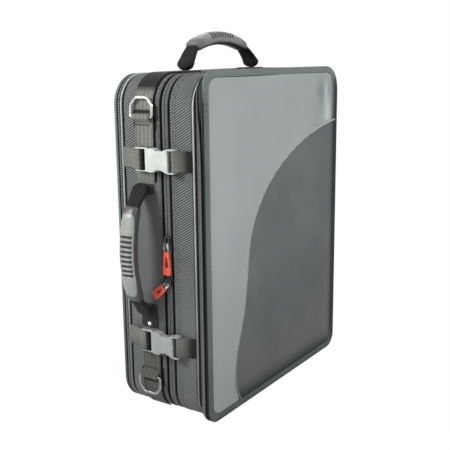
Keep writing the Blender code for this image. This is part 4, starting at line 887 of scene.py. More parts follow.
bindingShares = [(0.0, 0.13), (0.07, 0.06), (0.16, 0.01), (0.26, 0.0), (0.42, 0.0), (0.62, 0.04),
                 (0.80, 0.12), (0.93, 0.23), (1.0, 0.38),
                 (1.0, 0.72), (0.95, 0.86), (0.82, 0.96), (0.60, 1.0), (0.0, 1.0)]
cords = {
    "rearCord": {"body": "back_half", "node": "rear_piping", "y": 0.0540},
    "frontCord": {"body": "lid", "node": "front_piping", "y": -0.0497},
}
cordSize = {"radius": 0.0013, "sides": 14}
zips = {
    "zipRear": {"body": "back_half", "node": "zip_tape_back", "side": 1},
    "zipFront": {"body": "lid", "node": "zip_tape_lid", "side": -1},
}
zipProfile = [(0.0052, 0.0021), (0.0052, 0.0019), (0.0048, 0.0018), (0.0045, 0.0009), (0.0040, 0.0005),
              (0.0024, 0.0005), (0.0019, 0.0001), (0.0009, 0.0001), (0.0003, 0.0006), (0.00015, 0.0011),
              (0.00015, 0.0019)]
zipRun = {"low": 0.060, "high": 0.350, "middle": -0.0105, "rightFrom": 0.12, "slack": 0.0001}


def makeWalls():
    for name, layer in wallLayers.items():
        piece = layerPiece(name, layer["profile"], layer.get("caps", ""), layer.get("closed", False))
        setUv(piece, clothUv)
        liftFront(piece)
        settle(piece, layer["body"], clothFinish, [layer["node"]], 50)


def makeBindings():
    for name, layer in bindings.items():
        rise = layer["crest"] - layer["seat"]
        profile = [(layer["seat"] + rise * up, layer["width"] * across) for up, across in bindingShares]
        piece = layerPiece(name, profile, closed=True)
        setUv(piece, clothUv)
        shadeSeams(piece, layer["seat"], rise)
        liftFront(piece)
        settle(piece, layer["body"], tapeFinish, [layer["node"]], 60)


def makeCords():
    for name, cord in cords.items():
        turns = [2 * math.pi * side / cordSize["sides"] for side in range(cordSize["sides"])]
        profile = [(cord["y"] + cordSize["radius"] * math.cos(turn),
                    cordSize["radius"] * (1 + math.sin(turn))) for turn in turns]
        piece = layerPiece(name, profile, closed=True)
        setUv(piece, clothUv)
        liftFront(piece)
        settle(piece, cord["body"], cordFinish, [cord["node"]], 80)


def cutZipGap(piece):
    # opens the loop along the right wall, where the spine takes the place of the zip
    def onRight(place):
        return place.x > zipRun["rightFrom"]
    slack = zipRun["slack"]
    editMode()
    for height in (zipRun["high"], zipRun["low"]):
        pickVerts(piece, onRight)
        bpy.ops.mesh.bisect(plane_co=(0, 0, height), plane_no=(0, 0, 1))
    pickVerts(piece, lambda place: onRight(place)
              and zipRun["low"] + 10 * slack < place.z < zipRun["high"] - 10 * slack)
    bpy.ops.mesh.delete(type="VERT")
    build = bmesh.from_edit_mesh(piece.data)
    spare = [face for face in build.faces
             if all(onRight(vert.co) and zipRun["low"] - slack < vert.co.z < zipRun["high"] + slack
                    for vert in face.verts)]
    bmesh.ops.delete(build, geom=spare, context="FACES")
    bmesh.update_edit_mesh(piece.data)
    bpy.ops.mesh.select_all(action="DESELECT")
    bpy.ops.mesh.select_non_manifold(use_wire=False, use_boundary=True, use_multi_face=False,
                                     use_non_contiguous=False, use_verts=False)
    bpy.ops.mesh.edge_face_add()
    objectMode()


def makeZips():
    for name, half in zips.items():
        profile = [(zipRun["middle"] + half["side"] * off, inset) for off, inset in zipProfile]
        piece = layerPiece(name, profile, closed=True)
        cutZipGap(piece)
        setUv(piece, clothUv)
        settle(piece, half["body"], zipFinish, [half["node"]], 50)


makeWalls()
makeBindings()
makeCords()
makeZips()
print("walls, bindings, cords and zip are made")


# Bands, wires and copies
def sweepPiece(name, section, stations):
    # a filled loop of points extruded from one place to the next
    piece = newPiece(name, bpy.ops.mesh.primitive_circle_add, vertices=len(section), radius=1,
                     fill_type="NGON")
    editMode()
    build = bmesh.from_edit_mesh(piece.data)
    for vert, (across, out) in zip(build.verts, section):
        vert.co = stations[0] @ Vector((across, out, 0))
    bmesh.update_edit_mesh(piece.data)
    for last, station in zip(stations, stations[1:]):
        bpy.ops.mesh.extrude_region_move(TRANSFORM_OT_translate={"value": (0, 0, 0)})
        carry = station @ last.inverted()
        build = bmesh.from_edit_mesh(piece.data)
        for vert in build.verts:
            if vert.select:
                vert.co = carry @ vert.co
        bmesh.update_edit_mesh(piece.data)
    bpy.ops.mesh.select_all(action="SELECT")
    bpy.ops.mesh.normals_make_consistent(inside=False)
    objectMode()
    return piece


def sweepUv(piece, section, stations):
    # along the path and across the band, in metres
    lengths = [0.0]
    for last, station in zip(stations, stations[1:]):
        lengths.append(lengths[-1] + (station.translation - last.translation).length)
    layer = patternLayer(piece)
    each = len(section)
    places = []
    for vert in piece.data.vertices:
        step = min(vert.index // each, len(stations) - 1)
        local = vert.co - stations[step].translation
        places.append((lengths[step], local.dot(stations[step].col[0].to_3d().normalized())))
    for loop in piece.data.loops:
        layer.data[loop.index].uv = places[loop.vertex_index]


def pathStations(path, across):
    # a frame at each point: across, outwards and along
    stations = []
    for here, point in enumerate(path):
        along = (path[min(here + 1, len(path) - 1)] - path[max(here - 1, 0)]).normalized()
        out = along.cross(across)
        turn = Matrix((across, out, along)).transposed().to_4x4()
        stations.append(Matrix.Translation(point) @ turn)
    return stations


def bentPoint(start, corner, end, share):
    return start.lerp(corner, share).lerp(corner.lerp(end, share), share)


def roundPath(points, steps=3, cut=0.3):
    # the path with softly rounded bends
    path = [points[0]]
    for before, here, after in zip(points, points[1:], points[2:]):
        for step in range(steps + 1):
            path.append(bentPoint(here.lerp(before, cut), here, here.lerp(after, cut), step / steps))
    path.append(points[-1])
    return path


def roundLoop(points, radius, steps=8, mostCut=0.48):
    # a closed loop of points with its corners rounded
    loop = []
    for here, point in enumerate(points):
        before = points[here - 1]
        after = points[(here + 1) % len(points)]
        start = point.lerp(before, min(radius / (point - before).length, mostCut))
        end = point.lerp(after, min(radius / (point - after).length, mostCut))
        loop += [bentPoint(start, point, end, step / steps) for step in range(steps + 1)]
    return loop


bandShares = [(-1.0, 0.0), (-0.985, 0.55), (-0.95, 0.92), (-0.90, 1.0), (-0.84, 0.80), (-0.5, 0.86),
              (0.0, 0.88), (0.5, 0.86), (0.84, 0.80), (0.90, 1.0), (0.95, 0.92), (0.985, 0.55)]


def bandSection(width, thickness):
    # webbing seen end on: thin, with a fuller woven edge on either side
    upper = [(across * width / 2, out * thickness / 2) for across, out in bandShares]
    lower = [(across, -out) for across, out in reversed(upper[1:])]
    return upper + [(width / 2, 0)] + lower


def bandPiece(name, path, across, width, thickness, body, finish, node, shadeAt=None):
    section = bandSection(width, thickness)
    stations = pathStations(path, across)
    piece = sweepPiece(name, section, stations)
    sweepUv(piece, section, stations)
    if shadeAt:
        markPoints(piece, "bandShade", lambda vert: shadeAt(vert.co))
    settle(piece, body, finish, [node], 50)


def wirePiece(name, points, radius, closed, body, finish, nodes, resolution):
    # round wire along the points, made a mesh
    curve = bpy.data.curves.new(name, "CURVE")
    curve.dimensions = "3D"
    run = curve.splines.new("POLY")
    run.points.add(len(points) - 1)
    for place, point in zip(run.points, points):
        place.co = (*point, 1)
    run.use_cyclic_u = closed
    curve.bevel_depth = radius
    curve.bevel_resolution = resolution
    curve.use_fill_caps = not closed
    piece = bpy.data.objects.new(name, curve)
    bpy.context.scene.collection.objects.link(piece)
    chooseOnly(piece)
    bpy.ops.object.convert(target="MESH")
    piece = bpy.context.object
    mergePoints()
    objectMode()
    settle(piece, body, finish, nodes, 70)


def mergePoints(flatAngle=None):
    # joins doubled points, and flat neighbouring faces if an angle is given
    editMode()
    bpy.ops.mesh.select_all(action="SELECT")
    bpy.ops.mesh.remove_doubles(threshold=0.00001)
    if flatAngle:
        bpy.ops.mesh.dissolve_limited(angle_limit=math.radians(flatAngle))
    bpy.ops.mesh.normals_make_consistent(inside=False)


def nodeCopy(node, name, flatAngle=1.0):
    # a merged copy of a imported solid, to be worked on
    source = bpy.data.objects[node]
    piece = bpy.data.objects.new(name, source.data.copy())
    piece.data.name = name
    bpy.context.scene.collection.objects.link(piece)
    chooseOnly(piece)
    mergePoints(flatAngle)
    bpy.ops.mesh.select_all(action="DESELECT")
    objectMode()
    return piece


def softenEdges(piece, width, segments=3, degrees=28):
    applyModifier(piece, "BEVEL", width=width, segments=segments, limit_method="ANGLE",
                  angle_limit=math.radians(degrees), use_clamp_overlap=True, harden_normals=False)


webbingLook = {"low": tone(66, 69, 64), "high": tone(158, 161, 153), "column": 0.0056, "twill": 0.0019,
               "columnShare": 0.22, "slope": 1.1, "weaveShare": 0.6, "fleck": 0.0021, "relief": 0.00030,
               "darkRun": (0.390, 0.397), "darkTone": grey(0.10), "dimRun": (0.10, 0.078),
               "dim": (0.52, 0.53, 0.52, 1), "shade": tone(9, 10, 9),
               "cloud": {"size": 0.02, "detail": 3, "low": (0.86, 0.86, 0.85, 1),
                         "high": (1.08, 1.08, 1.07, 1), "start": 0.3, "end": 0.7}}
strapLook = {**webbingLook, "twill": 0.0012, "columnShare": 0.06}
sleeveLook = {**tapeLook, "low": tone(12, 13, 12), "high": tone(40, 42, 40), "ribPitch": 0.0009}
footLook = {**sleeveLook, "low": tone(34, 35, 33), "high": tone(74, 75, 70)}


def makeHerringbone(name, look):
    # twill that turns at every column across the band, black over the top corner, dimmer near the bottom
    # as painted shade, and dark with painted shade where its bandShade marks it
    finish = newFinish(name, 0.74, sheen=0.05)
    flat = patternSpace(finish)
    along, across, _ = placeParts(finish, "UV")
    wave = mathOf(finish, "PINGPONG", across, look["column"] / 2)
    lean = mathOf(finish, "ADD", along, times(finish, wave, look["slope"]))
    slant = addNode(finish, "CombineXYZ", {0: lean, 1: across}).outputs[0]
    twill = ribs(finish, slant, look["twill"], "X", 0.25)
    column = ribs(finish, flat, look["column"], "Y", 0.2)
    height = mixValues(finish, column, look["columnShare"], twill)
    shade = mixValues(finish, height, look["weaveShare"], grain(finish, flat, look["fleck"], 2))
    color = ramp(finish, shade, look["low"], look["high"], 0.2, 0.8)
    high = placeParts(finish)[2]
    for run, dark in (("darkRun", "darkTone"), ("dimRun", "dim")):
        color = tint(finish, color, ramp(finish, span(finish, high, *look[run]), grey(1), look[dark]))
    color = clouded(finish, color, look["cloud"])
    plug(finish, mixColor(finish, attributeOf(finish, "bandShade"), color, look["shade"]), "Base Color")
    bump(finish, height, look["relief"], 0.9)
    return finish


plasticLook = {"low": tone(190, 194, 189), "high": tone(214, 218, 213), "roughness": 0.34, "coat": 0.1,
               "relief": 0.00004}
# the same plastic made darker for the lower buckle: painted shade low on the wall
shadedPlasticLook = {**plasticLook, "low": tone(142, 146, 142), "high": tone(170, 174, 170)}
mouldLook = {"cloud": 0.012, "fine": 0.0005, "scuff": 0.003, "cloudShare": 0.7}


def makePlastic(name, look):
    # moulded plastic: faint flow clouding, a very fine spark-eroded grain and dull scuffs
    finish = newFinish(name, look["roughness"], coat=look["coat"])
    flat = patternSpace(finish, "Object")
    fine = grain(finish, flat, mouldLook["fine"], 2)
    scuff = grain(finish, patternSpace(finish, "Object", stretch=(1, 3, 1)), mouldLook["scuff"], 5, 0.7)
    shade = mixValues(finish, grain(finish, flat, mouldLook["cloud"], 3), mouldLook["cloudShare"], fine)
    color = ramp(finish, shade, look["low"], look["high"], 0.3, 0.7)
    # painted shade on the grip: dark in its grooves, and dotted and dark on its sides beyond the pad,
    # underneath and at its ends
    if "groove" in look:
        color = mixColor(finish, attributeOf(finish, "grooveShade"), color, look["groove"])
        dots = addNode(finish, "TexVoronoi", {"Vector": flat, "Scale": 1 / look["dots"], "Randomness": 0.3},
                       distance="EUCLIDEAN").outputs["Distance"]
        dotted = ramp(finish, dots, look["dotColor"], look["edge"], 0.25, 0.45)
        color = mixColor(finish, attributeOf(finish, "edgeShade"), color, dotted)
    plug(finish, color, "Base Color")
    rough = look["roughness"]
    plug(finish, span(finish, scuff, 0.35, 0.7, rough - 0.06, rough + 0.1), "Roughness")
    bump(finish, fine, look["relief"], 0.6)
    return finish


metalLook = {"color": tone(208, 209, 206), "dull": tone(158, 159, 156), "roughness": 0.2}
# the ring chrome made rougher and darker for the lower ring; the darker colour is painted shade low on the
# wall
shadedMetalLook = {"color": tone(150, 152, 153), "dull": tone(112, 114, 115), "roughness": 0.30}
castLook = {"color": tone(92, 94, 96), "dull": tone(52, 54, 56), "roughness": 0.3}
rivetLook = {"color": tone(250, 251, 252), "dull": tone(226, 228, 230), "roughness": 0.55}
platingLook = {"cloud": 0.006, "rubbed": 0.0012, "relief": 0.00002}


def makeMetal(name, look):
    # plated metal with soft clouding and fine rubbed lines
    finish = newFinish(name, look["roughness"], metallic=1.0)
    cloud = grain(finish, patternSpace(finish, "Object"), platingLook["cloud"], 4)
    rubbed = grain(finish, patternSpace(finish, "Object", stretch=(1, 1, 6)), platingLook["rubbed"], 3)
    plug(finish, ramp(finish, cloud, look["dull"], look["color"], 0.25, 0.6), "Base Color")
    rough = look["roughness"]
    plug(finish, span(finish, rubbed, 0.3, 0.7, rough - 0.05, rough + 0.1), "Roughness")
    bump(finish, rubbed, platingLook["relief"], 0.4)
    return finish


# groove, edge and dotColor are the colours of the grip's painted shade
gripLook = {"low": tone(136, 140, 136), "high": tone(162, 166, 161), "roughness": 0.42, "relief": 0.00005,
            "groove": tone(14, 15, 15), "coat": 0.06, "edge": tone(34, 36, 34), "dotColor": tone(76, 79, 76),
            "dots": 0.0016}
pullLook = {"low": tone(242, 84, 64), "high": tone(254, 114, 90), "roughness": 0.38, "coat": 0.1,
            "relief": 0.00004}

webbingFinish = makeHerringbone("webbingCloth", webbingLook)
strapFinish = makeHerringbone("strapCloth", strapLook)
sleeveFinish = makeTape("sleeveCloth", sleeveLook)
footFinish = makeTape("footCloth", footLook)
buckleFinish = makePlastic("bucklePlastic", plasticLook)
shadedBuckleFinish = makePlastic("shadedBucklePlastic", shadedPlasticLook)
gripFinish = makePlastic("gripRubber", gripLook)
pullFinish = makePlastic("pullRubber", pullLook)
chromeFinish = makeMetal("ringChrome", metalLook)
shadedChromeFinish = makeMetal("shadedRingChrome", shadedMetalLook)
rivetFinish = makeMetal("rivetChrome", rivetLook)
sliderFinish = makeMetal("sliderMetal", castLook)
print("webbing, plastic and metal finishes are made")


# The two front skins and the seam between them
skins = {"inset": 0.0098, "face": -0.0659, "edgeDip": 0.0009, "edgeRun": 0.006, "crown": 0.0010,
         "crownRun": 0.075, "grid": 0.0034, "seamDip": 0.0007, "seamRun": 0.006, "dentRun": 0.004,
         "thickness": 0.0008}
skinPieces = {
    "lightSkin": {"slot": "light_skin", "node": "light_panel"},
    "darkSkin": {"slot": "dark_skin", "node": "dark_panel"},
}
skinDents = [(0.1330, 0.3640, 0.0085, 0.038, 0.0024), (0.1220, 0.3880, 0.014, 0.010, 0.0010),
             (0.1020, 0.3500, 0.020, 0.034, 0.0010), (0.0200, 0.3750, 0.06, 0.018, 0.0003),
             (-0.1200, 0.2500, 0.03, 0.10, 0.0002)]
skinShade = {"right": (0.1360, 0.1515), "low": (0.0340, 0.0105), "rightShare": 0.95, "lowShare": 0.92,
             "soft": 1.7, "light": (0.1400, 0.1460), "lightShare": 0.8}
# painted highlights (positive share) and painted shade (negative share) over the creases: middle, size, share
creaseGleams = [((0.1335, 0.3470), (0.0105, 0.0230), 0.95), ((0.1285, 0.3760), (0.0045, 0.0120), 0.78),
           ((0.1115, 0.3790), (0.0110, 0.0150), -0.70), ((0.1370, 0.3780), (0.0030, 0.0100), -0.45),
           ((0.1000, 0.3500), (0.0220, 0.0300), -0.16), ((-0.1300, 0.2600), (0.0300, 0.1500), 0.14),
           ((0.0600, 0.3700), (0.0500, 0.0300), -0.06), ((-0.1000, 0.0400), (0.0300, 0.0300), -0.12)]


def runShare(value, run):
    # 0 at the start of the run and 1 at its end
    return min(max((value - run[0]) / (run[1] - run[0]), 0), 1)


def edgeShadeAt(x, z, light):
    # how dark the skin goes where it dips under the binding
    if light:
        return skinShade["lightShare"] * smoothShare(runShare(x, skinShade["light"]))
    return max(skinShade["rightShare"] * runShare(x, skinShade["right"]) ** skinShade["soft"],
               skinShade["lowShare"] * runShare(z, skinShade["low"]) ** skinShade["soft"])


seamLine = {"start": (0.1517, 0.3380), "end": (-0.0940, 0.0098), "steps": 14, "radius": 0.0011,
            "startHandle": (0.0600, 0.3280), "endHandle": (-0.0990, 0.0170),
            "knots": [((-0.0480, 0.2900), (-0.0720, 0.2070), (-0.0760, 0.1830)),
                      ((-0.0800, 0.1500), (-0.0840, 0.1280), (-0.0900, 0.1000)),
                      ((-0.1060, 0.0750), (-0.1050, 0.0420), (-0.1045, 0.0300))]}


def seamPoints():
    knots = [(None, seamLine["start"], seamLine["startHandle"])] + list(seamLine["knots"])
    knots.append((seamLine["endHandle"], seamLine["end"], None))
    points = [Vector(seamLine["start"])]
    for (_, here, leave), (arrive, following, _) in zip(knots, knots[1:]):
        made = interpolate_bezier(Vector(here).to_3d(), Vector(leave).to_3d(), Vector(arrive).to_3d(),
                                  Vector(following).to_3d(), seamLine["steps"] + 1)
        points += [point.to_2d() for point in made[1:]]
    return points


def skinOutline(light):
    # the skin's outline over (x, z): the case's own, cut by the seam
    inset = skins["inset"]
    low = outlineLength() - math.pi / 4 * caseShape["corner"]
    edge = []
    steps = 240
    for step in range(steps):
        point, out = outlinePlace(low + outlineLength() * step / steps)
        corner = point - out * inset
        edge.append(Vector((corner.x, corner.z)))
    seam = seamPoints()
    nearStart, nearEnd = (min(range(steps), key=lambda spot: (edge[spot] - tip).length)
                          for tip in (seam[0], seam[-1]))
    leave, arrive = (nearEnd, nearStart) if light else (nearStart, nearEnd)
    spots = [(leave + 1 + step) % steps for step in range((arrive - leave) % steps - 1)]
    return [edge[spot] for spot in spots] + (seam if light else list(reversed(seam)))


def hill(x, z, wide, high):
    # 1 in the middle, falling softly away to all sides
    return math.exp(-(x / wide) ** 2 - (z / high) ** 2)


def skinFace(x, z, seam, light):
    # how far forward the skin stands at a point
    inset = outlineReading(Vector((x, 0, z)))[1] - skins["inset"]
    nearSeam = min((Vector((x, z)) - point).length for point in seam)
    y = skins["face"] + skins["edgeDip"] * (1 - smoothShare(inset / skins["edgeRun"]))
    y -= skins["crown"] * smoothShare(inset / skins["crownRun"])
    y += skins["seamDip"] * (1 - smoothShare(nearSeam / skins["seamRun"]))
    if light:
        inward = smoothShare(inset / skins["dentRun"])
        y += inward * sum(deep * hill(x - dentX, z - dentZ, wide, high)
                          for dentX, dentZ, wide, high, deep in skinDents)
    return y


def gleamAt(x, z):
    # painted highlights and painted shade where the light skin is creased
    return sum(share * hill(x - midX, z - midZ, wide, high) for (midX, midZ), (wide, high), share in creaseGleams)


def cutGrid():
    # cuts the flat skin into small faces, so that it can be shaped
    reach = int(caseShape["width"] / 2 / skins["grid"])
    for step in range(-reach, reach + 1):
        bpy.ops.mesh.select_all(action="SELECT")
        bpy.ops.mesh.bisect(plane_co=(step * skins["grid"], 0, 0), plane_no=(1, 0, 0))
    for step in range(1, int(caseShape["height"] / skins["grid"])):
        bpy.ops.mesh.select_all(action="SELECT")
        bpy.ops.mesh.bisect(plane_co=(0, 0, step * skins["grid"]), plane_no=(0, 0, 1))
    bpy.ops.mesh.select_all(action="SELECT")
    bpy.ops.mesh.remove_doubles(threshold=0.00005)
    bpy.ops.mesh.normals_make_consistent(inside=False)


def makeSkins():
    seam = seamPoints()
    for name, skin in skinPieces.items():
        light = skin["slot"] == "light_skin"
        piece = newPiece(name, bpy.ops.mesh.primitive_plane_add, size=1, location=(0, 0, 0))
        editMode()
        bpy.ops.mesh.delete(type="VERT")
        build = bmesh.from_edit_mesh(piece.data)
        build.faces.new([build.verts.new((x, skins["face"], z)) for x, z in skinOutline(light)])
        bmesh.update_edit_mesh(piece.data)
        cutGrid()
        objectMode()
        for vert in piece.data.vertices:
            vert.co.y = skinFace(vert.co.x, vert.co.z, seam, light)
        editMode()
        build = bmesh.from_edit_mesh(piece.data)
        if sum(face.normal.y * face.calc_area() for face in build.faces) > 0:
            bpy.ops.mesh.flip_normals()
        objectMode()
        applyModifier(piece, "SOLIDIFY", thickness=skins["thickness"], offset=-1)
        markPoints(piece, "edgeShade", lambda vert: edgeShadeAt(vert.co.x, vert.co.z, light))
        markPoints(piece, "gleamShade",
                   lambda vert: 0.5 + (gleamAt(vert.co.x, vert.co.z) / 2 if light else 0))
        liftFront(piece)
        settle(piece, "pocket", lightFinish if light else darkFinish, [skin["node"]], 60)
    cord = [(point.x, skins["face"] + 0.0001, point.y) for point in seam]
    wirePiece("seamCord", cord, seamLine["radius"], False, "pocket", cordFinish, ["seam_piping"], 4)


makeSkins()
print("front skins are made")


# Webbing on the left wall and the top, and the loops of the rings
wallUp = Vector((0, 0, 1))
backwards = Vector((0, 1, 0))
webbing = {"y": 0.0186, "width": 0.0264, "thickness": 0.0016, "rise": 0.0011, "spacing": 0.0015}
bandDark = {"wall": -0.15, "bars": (0.3688, 0.0422), "barReach": 0.004, "barCore": 0.0014, "barSoft": 0.0016,
            "barShare": 0.9, "buckleReach": 0.0135, "buckleShare": 0.97}
buckleHeights = {"upper": 0.315, "lower": 0.095}
webbingRuns = {
    "upperWebbing": {"node": "side_webbing_upper", "start": 0.2498, "end": 0.42575},
    "lowerWebbing": {"node": "side_webbing_lower", "start": -0.0377, "end": 0.0732},
}


def webbingShadeAt(place):
    # dark behind the bar of each ring, where the loop stands over the webbing, and behind the upper buckle
    if place.x >= bandDark["wall"]:
        return 0
    for middle in bandDark["bars"]:
        off = abs(place.z - middle)
        if off < bandDark["barReach"]:
            return bandDark["barShare"] * (1 - smoothShare((off - bandDark["barCore"]) / bandDark["barSoft"]))
    return bandDark["buckleShare"] if abs(place.z - buckleHeights["upper"]) < bandDark["buckleReach"] else 0


def makeWebbing():
    for name, run in webbingRuns.items():
        steps = int((run["end"] - run["start"]) / webbing["spacing"])
        path = []
        for step in range(steps + 1):
            point, out = outlinePlace(run["start"] + (run["end"] - run["start"]) * step / steps)
            path.append(point + out * webbing["rise"] + backwards * webbing["y"])
        bandPiece(name, path, backwards, webbing["width"], webbing["thickness"], "back_half",
                  webbingFinish, run["node"], shadeAt=webbingShadeAt)


ringSize = {"rise": 0.0057, "wire": 0.0019, "halfWidth": 0.0156, "reach": 0.0216, "bend": 0.0030,
            "hole": 0.0022, "loopWidth": 0.0256, "loopThickness": 0.0013}
rings = {
    "upperRing": {"z": 0.363, "node": "upper_d_ring", "body": "upper_ring", "turn": 4, "up": 1},
    "lowerRing": {"z": 0.048, "node": "lower_d_ring", "body": "lower_ring", "turn": 180, "up": -1},
}
ringShape = [(0.0, 0.0), (1.0, 0.0), (1.0, 0.60), (0.54, 1.0), (0.0, 1.0)]
loopShape = [(-1.7, -2.7), (-1.05, -1.9), (-1.0, -1.0), (-1.0, 0.0), (-0.87, 0.5), (-0.5, 0.87), (0.0, 1.0),
             (0.5, 0.87), (0.87, 0.5), (1.0, 0.0), (0.84, -0.6), (0.30, -1.15), (-0.35, -1.6), (-1.0, -2.1),
             (-1.7, -2.8)]


def makeRings():
    for name, ring in rings.items():
        bar = Vector((-caseShape["width"] / 2 - ringSize["rise"], webbing["y"], ring["z"]))
        turn = Matrix.Rotation(math.radians(ring["turn"]), 4, "Y")
        half = [Vector((0, ringSize["halfWidth"] * across, ringSize["reach"] * along))
                for across, along in ringShape]
        other = [Vector((0, -point.y, point.z)) for point in reversed(half[1:-1])]
        points = [bar + turn @ point for point in roundLoop(half + other, ringSize["bend"])]
        upper = ring["up"] > 0
        wirePiece(name, points, ringSize["wire"], True, ring["body"],
                  chromeFinish if upper else shadedChromeFinish, [ring["node"]], 6)
        radius = ringSize["hole"] + ringSize["loopThickness"] / 2
        path = [bar + Vector((-out * radius, 0, along * radius * ring["up"])) for out, along in loopShape]
        bandPiece("upperRingLoop" if upper else "lowerRingLoop", roundPath(path), backwards,
                  ringSize["loopWidth"], ringSize["loopThickness"], "back_half", webbingFinish,
                  "upper_ring_loop" if upper else "lower_ring_loop")


makeWebbing()
makeRings()
print("webbing and rings are made")


# Side-release buckles and their straps
buckle = {"meeting": 0.0093, "width": 0.024, "thickness": 0.0014, "barRest": 0.00605, "barThickness": 0.0026,
          "gap": 0.0003, "reach": 0.0013, "tail": 0.0055, "drop": 0.0009, "edge": 0.00045,
          "prongEdge": 0.0003}
strapRuns = {
    "BackStrap": {"bar": -0.0082, "barLength": 0.0024, "wallEnd": -0.0428, "node": "_back_strap",
                  "body": "back_half", "slot": 0.0002, "soft": 0.0036, "gloom": 0.0,
                  "rise": [(0.24, 0.02), (0.44, 0.22), (0.60, 0.62), (0.70, 0.92), (0.76, 1.0), (0.90, 1.0)]},
    "FrontStrap": {"bar": 0.0365, "barLength": 0.0024, "wallEnd": 0.0571, "node": "_front_strap",
                   "body": "lid", "slot": -0.0010, "soft": 0.0008, "gloom": 0.94,
                   "rise": [(0.30, 0.02), (0.55, 0.22), (0.76, 0.60), (0.88, 0.86)]},
}
strapDark = {"slotShare": 0.95, "wallFrom": 0.003, "wallOver": 0.014}
ladderBar = {"halfWidth": 0.0012, "halfThickness": 0.0011, "reach": 0.0125, "roundness": 0.6}
buckleParts = {
    "MaleBuckle": {"node": "_male_buckle", "body": "back_half"},
    "FemaleBuckle": {"node": "_female_buckle", "body": "lid"},
    "ProngTop": {"node": "_prong_top", "body": "_top_arm"},
    "ProngBottom": {"node": "_prong_bottom", "body": "_bottom_arm"},
}


def strapPath(run, z):
    away = 1 if run["wallEnd"] > run["bar"] else -1
    low = buckle["gap"] + buckle["thickness"] / 2
    over = buckle["barRest"] + buckle["barThickness"] + buckle["gap"] + buckle["thickness"] / 2
    under = buckle["barRest"] - buckle["gap"] - buckle["thickness"] / 2
    length = abs(run["wallEnd"] - run["bar"])
    points = [(run["wallEnd"], low)]
    points += [(run["wallEnd"] - away * length * share, low + (over - low) * rise)
               for share, rise in run["rise"]]
    points.append((run["bar"] + away * (run["barLength"] / 2 + buckle["gap"]), over))
    middle = (over + under) / 2
    for step in range(9):
        angle = math.pi * step / 8
        points.append((run["bar"] - away * (run["barLength"] / 2 + buckle["reach"] * math.sin(angle)),
                       middle + (over - middle) * math.cos(angle)))
    points.append((run["bar"] + away * buckle["tail"], under - buckle["drop"]))
    wall = -caseShape["width"] / 2
    return [Vector((wall - out, buckle["meeting"] - along, z)) for along, out in points]


def strapShade(run, place):
    # dark in the slot of the buckle, and on the front strap towards the wall
    along = buckle["meeting"] - place.y
    away = 1 if run["wallEnd"] > run["bar"] else -1
    past = (along - run["bar"]) * away
    slot = strapDark["slotShare"] * (1 - smoothShare((past - run["slot"]) / run["soft"]))
    return max(slot, run["gloom"] * smoothShare((past - strapDark["wallFrom"]) / strapDark["wallOver"]))


def softSquare(sides, wide, high):
    # a loop of points between a circle and a square: the lower the powers, the squarer
    points = []
    for step in range(sides):
        across, out = math.cos(2 * math.pi * step / sides), math.sin(2 * math.pi * step / sides)
        points.append((math.copysign(abs(across) ** wide, across), math.copysign(abs(out) ** high, out)))
    return points


def makeLadderBar(side, z, finish):
    # the inner bar of the ladder end, which the rear strap turns round
    section = [(across * ladderBar["halfWidth"], out * ladderBar["halfThickness"])
               for across, out in softSquare(16, ladderBar["roundness"], ladderBar["roundness"])]
    middle = Vector((-caseShape["width"] / 2 - buckle["barRest"] - buckle["barThickness"] / 2,
                     buckle["meeting"] - strapRuns["BackStrap"]["bar"], z))
    path = [middle + wallUp * ladderBar["reach"] * share for share in (-1, -0.5, 0, 0.5, 1)]
    piece = sweepPiece(side + "LadderBar", section, pathStations(path, backwards))
    settle(piece, "back_half", finish, (), 50)


def makeBuckles():
    for side, z in buckleHeights.items():
        finish = buckleFinish if side == "upper" else shadedBuckleFinish
        makeLadderBar(side, z, finish)
        for name, run in strapRuns.items():
            bandPiece(side + name, roundPath(strapPath(run, z), 2), wallUp, buckle["width"],
                      buckle["thickness"], run["body"], strapFinish, side + run["node"],
                      shadeAt=lambda place, run=run: strapShade(run, place))
        for name, part in buckleParts.items():
            piece = nodeCopy(side + part["node"], side + name)
            softenEdges(piece, buckle["edge"] if "Buckle" in name else buckle["prongEdge"])
            body = part["body"] if part["body"][0] != "_" else side + part["body"]
            settle(piece, body, finish, [side + part["node"]], 40)


makeBuckles()
print("buckles are made")


# Handles: sleeve, grip with its grooves, and the feet
handle = {"halfSpan": 0.074, "hingeRise": 0.0086, "gripHalf": 0.0553, "drop": 0.0108, "core": 0.0072,
          "coreThickness": 0.0015, "sleeveWidth": 0.0088, "sleeveThickness": 0.0026, "endWidth": 0.0110,
          "endThickness": 0.0048, "belly": 0.0014, "tuck": 0.004, "coreTuck": 0.006,
          "endRadius": 0.0064, "turning": (0.0046, 0.0170)}
grip = {"width": 0.0101, "endWidth": 0.0096, "thickness": 0.0082, "endThickness": 0.0066, "noseStart": 0.0470,
        "noseWidth": 0.0088, "noseThickness": 0.0038, "sides": 40, "steps": 216, "grooves": 9,
        "pitch": 0.00543, "grooveWidth": 0.0037, "grooveDepth": 0.0014, "padHalf": 0.0430, "padTurn": 64,
        "railRise": 0.00035, "railWidth": 0.07, "tipFrom": 0.026, "tipOver": 0.024, "underShare": 0.95}
# edgeShare and tipShare set how much painted shade falls on each handle's sides and ends
handles = {
    "side": {"rise": 0.0349, "skew": 0.0, "edgeShare": 0.92, "grooveReach": 0.80, "grooveShare": 1.0,
             "tipShare": 0.1,
             "place": Matrix.Translation((-0.1615, 0.0197, 0.2065)) @ Matrix.Rotation(-math.pi / 2, 4, "Y")},
    "top": {"rise": 0.0404, "skew": -0.0058, "edgeShare": 0.30, "grooveReach": 1.16, "grooveShare": 1.3,
            "tipShare": 0.62, "place": Matrix.Translation((-0.006, 0.0197, 0.410))},
}


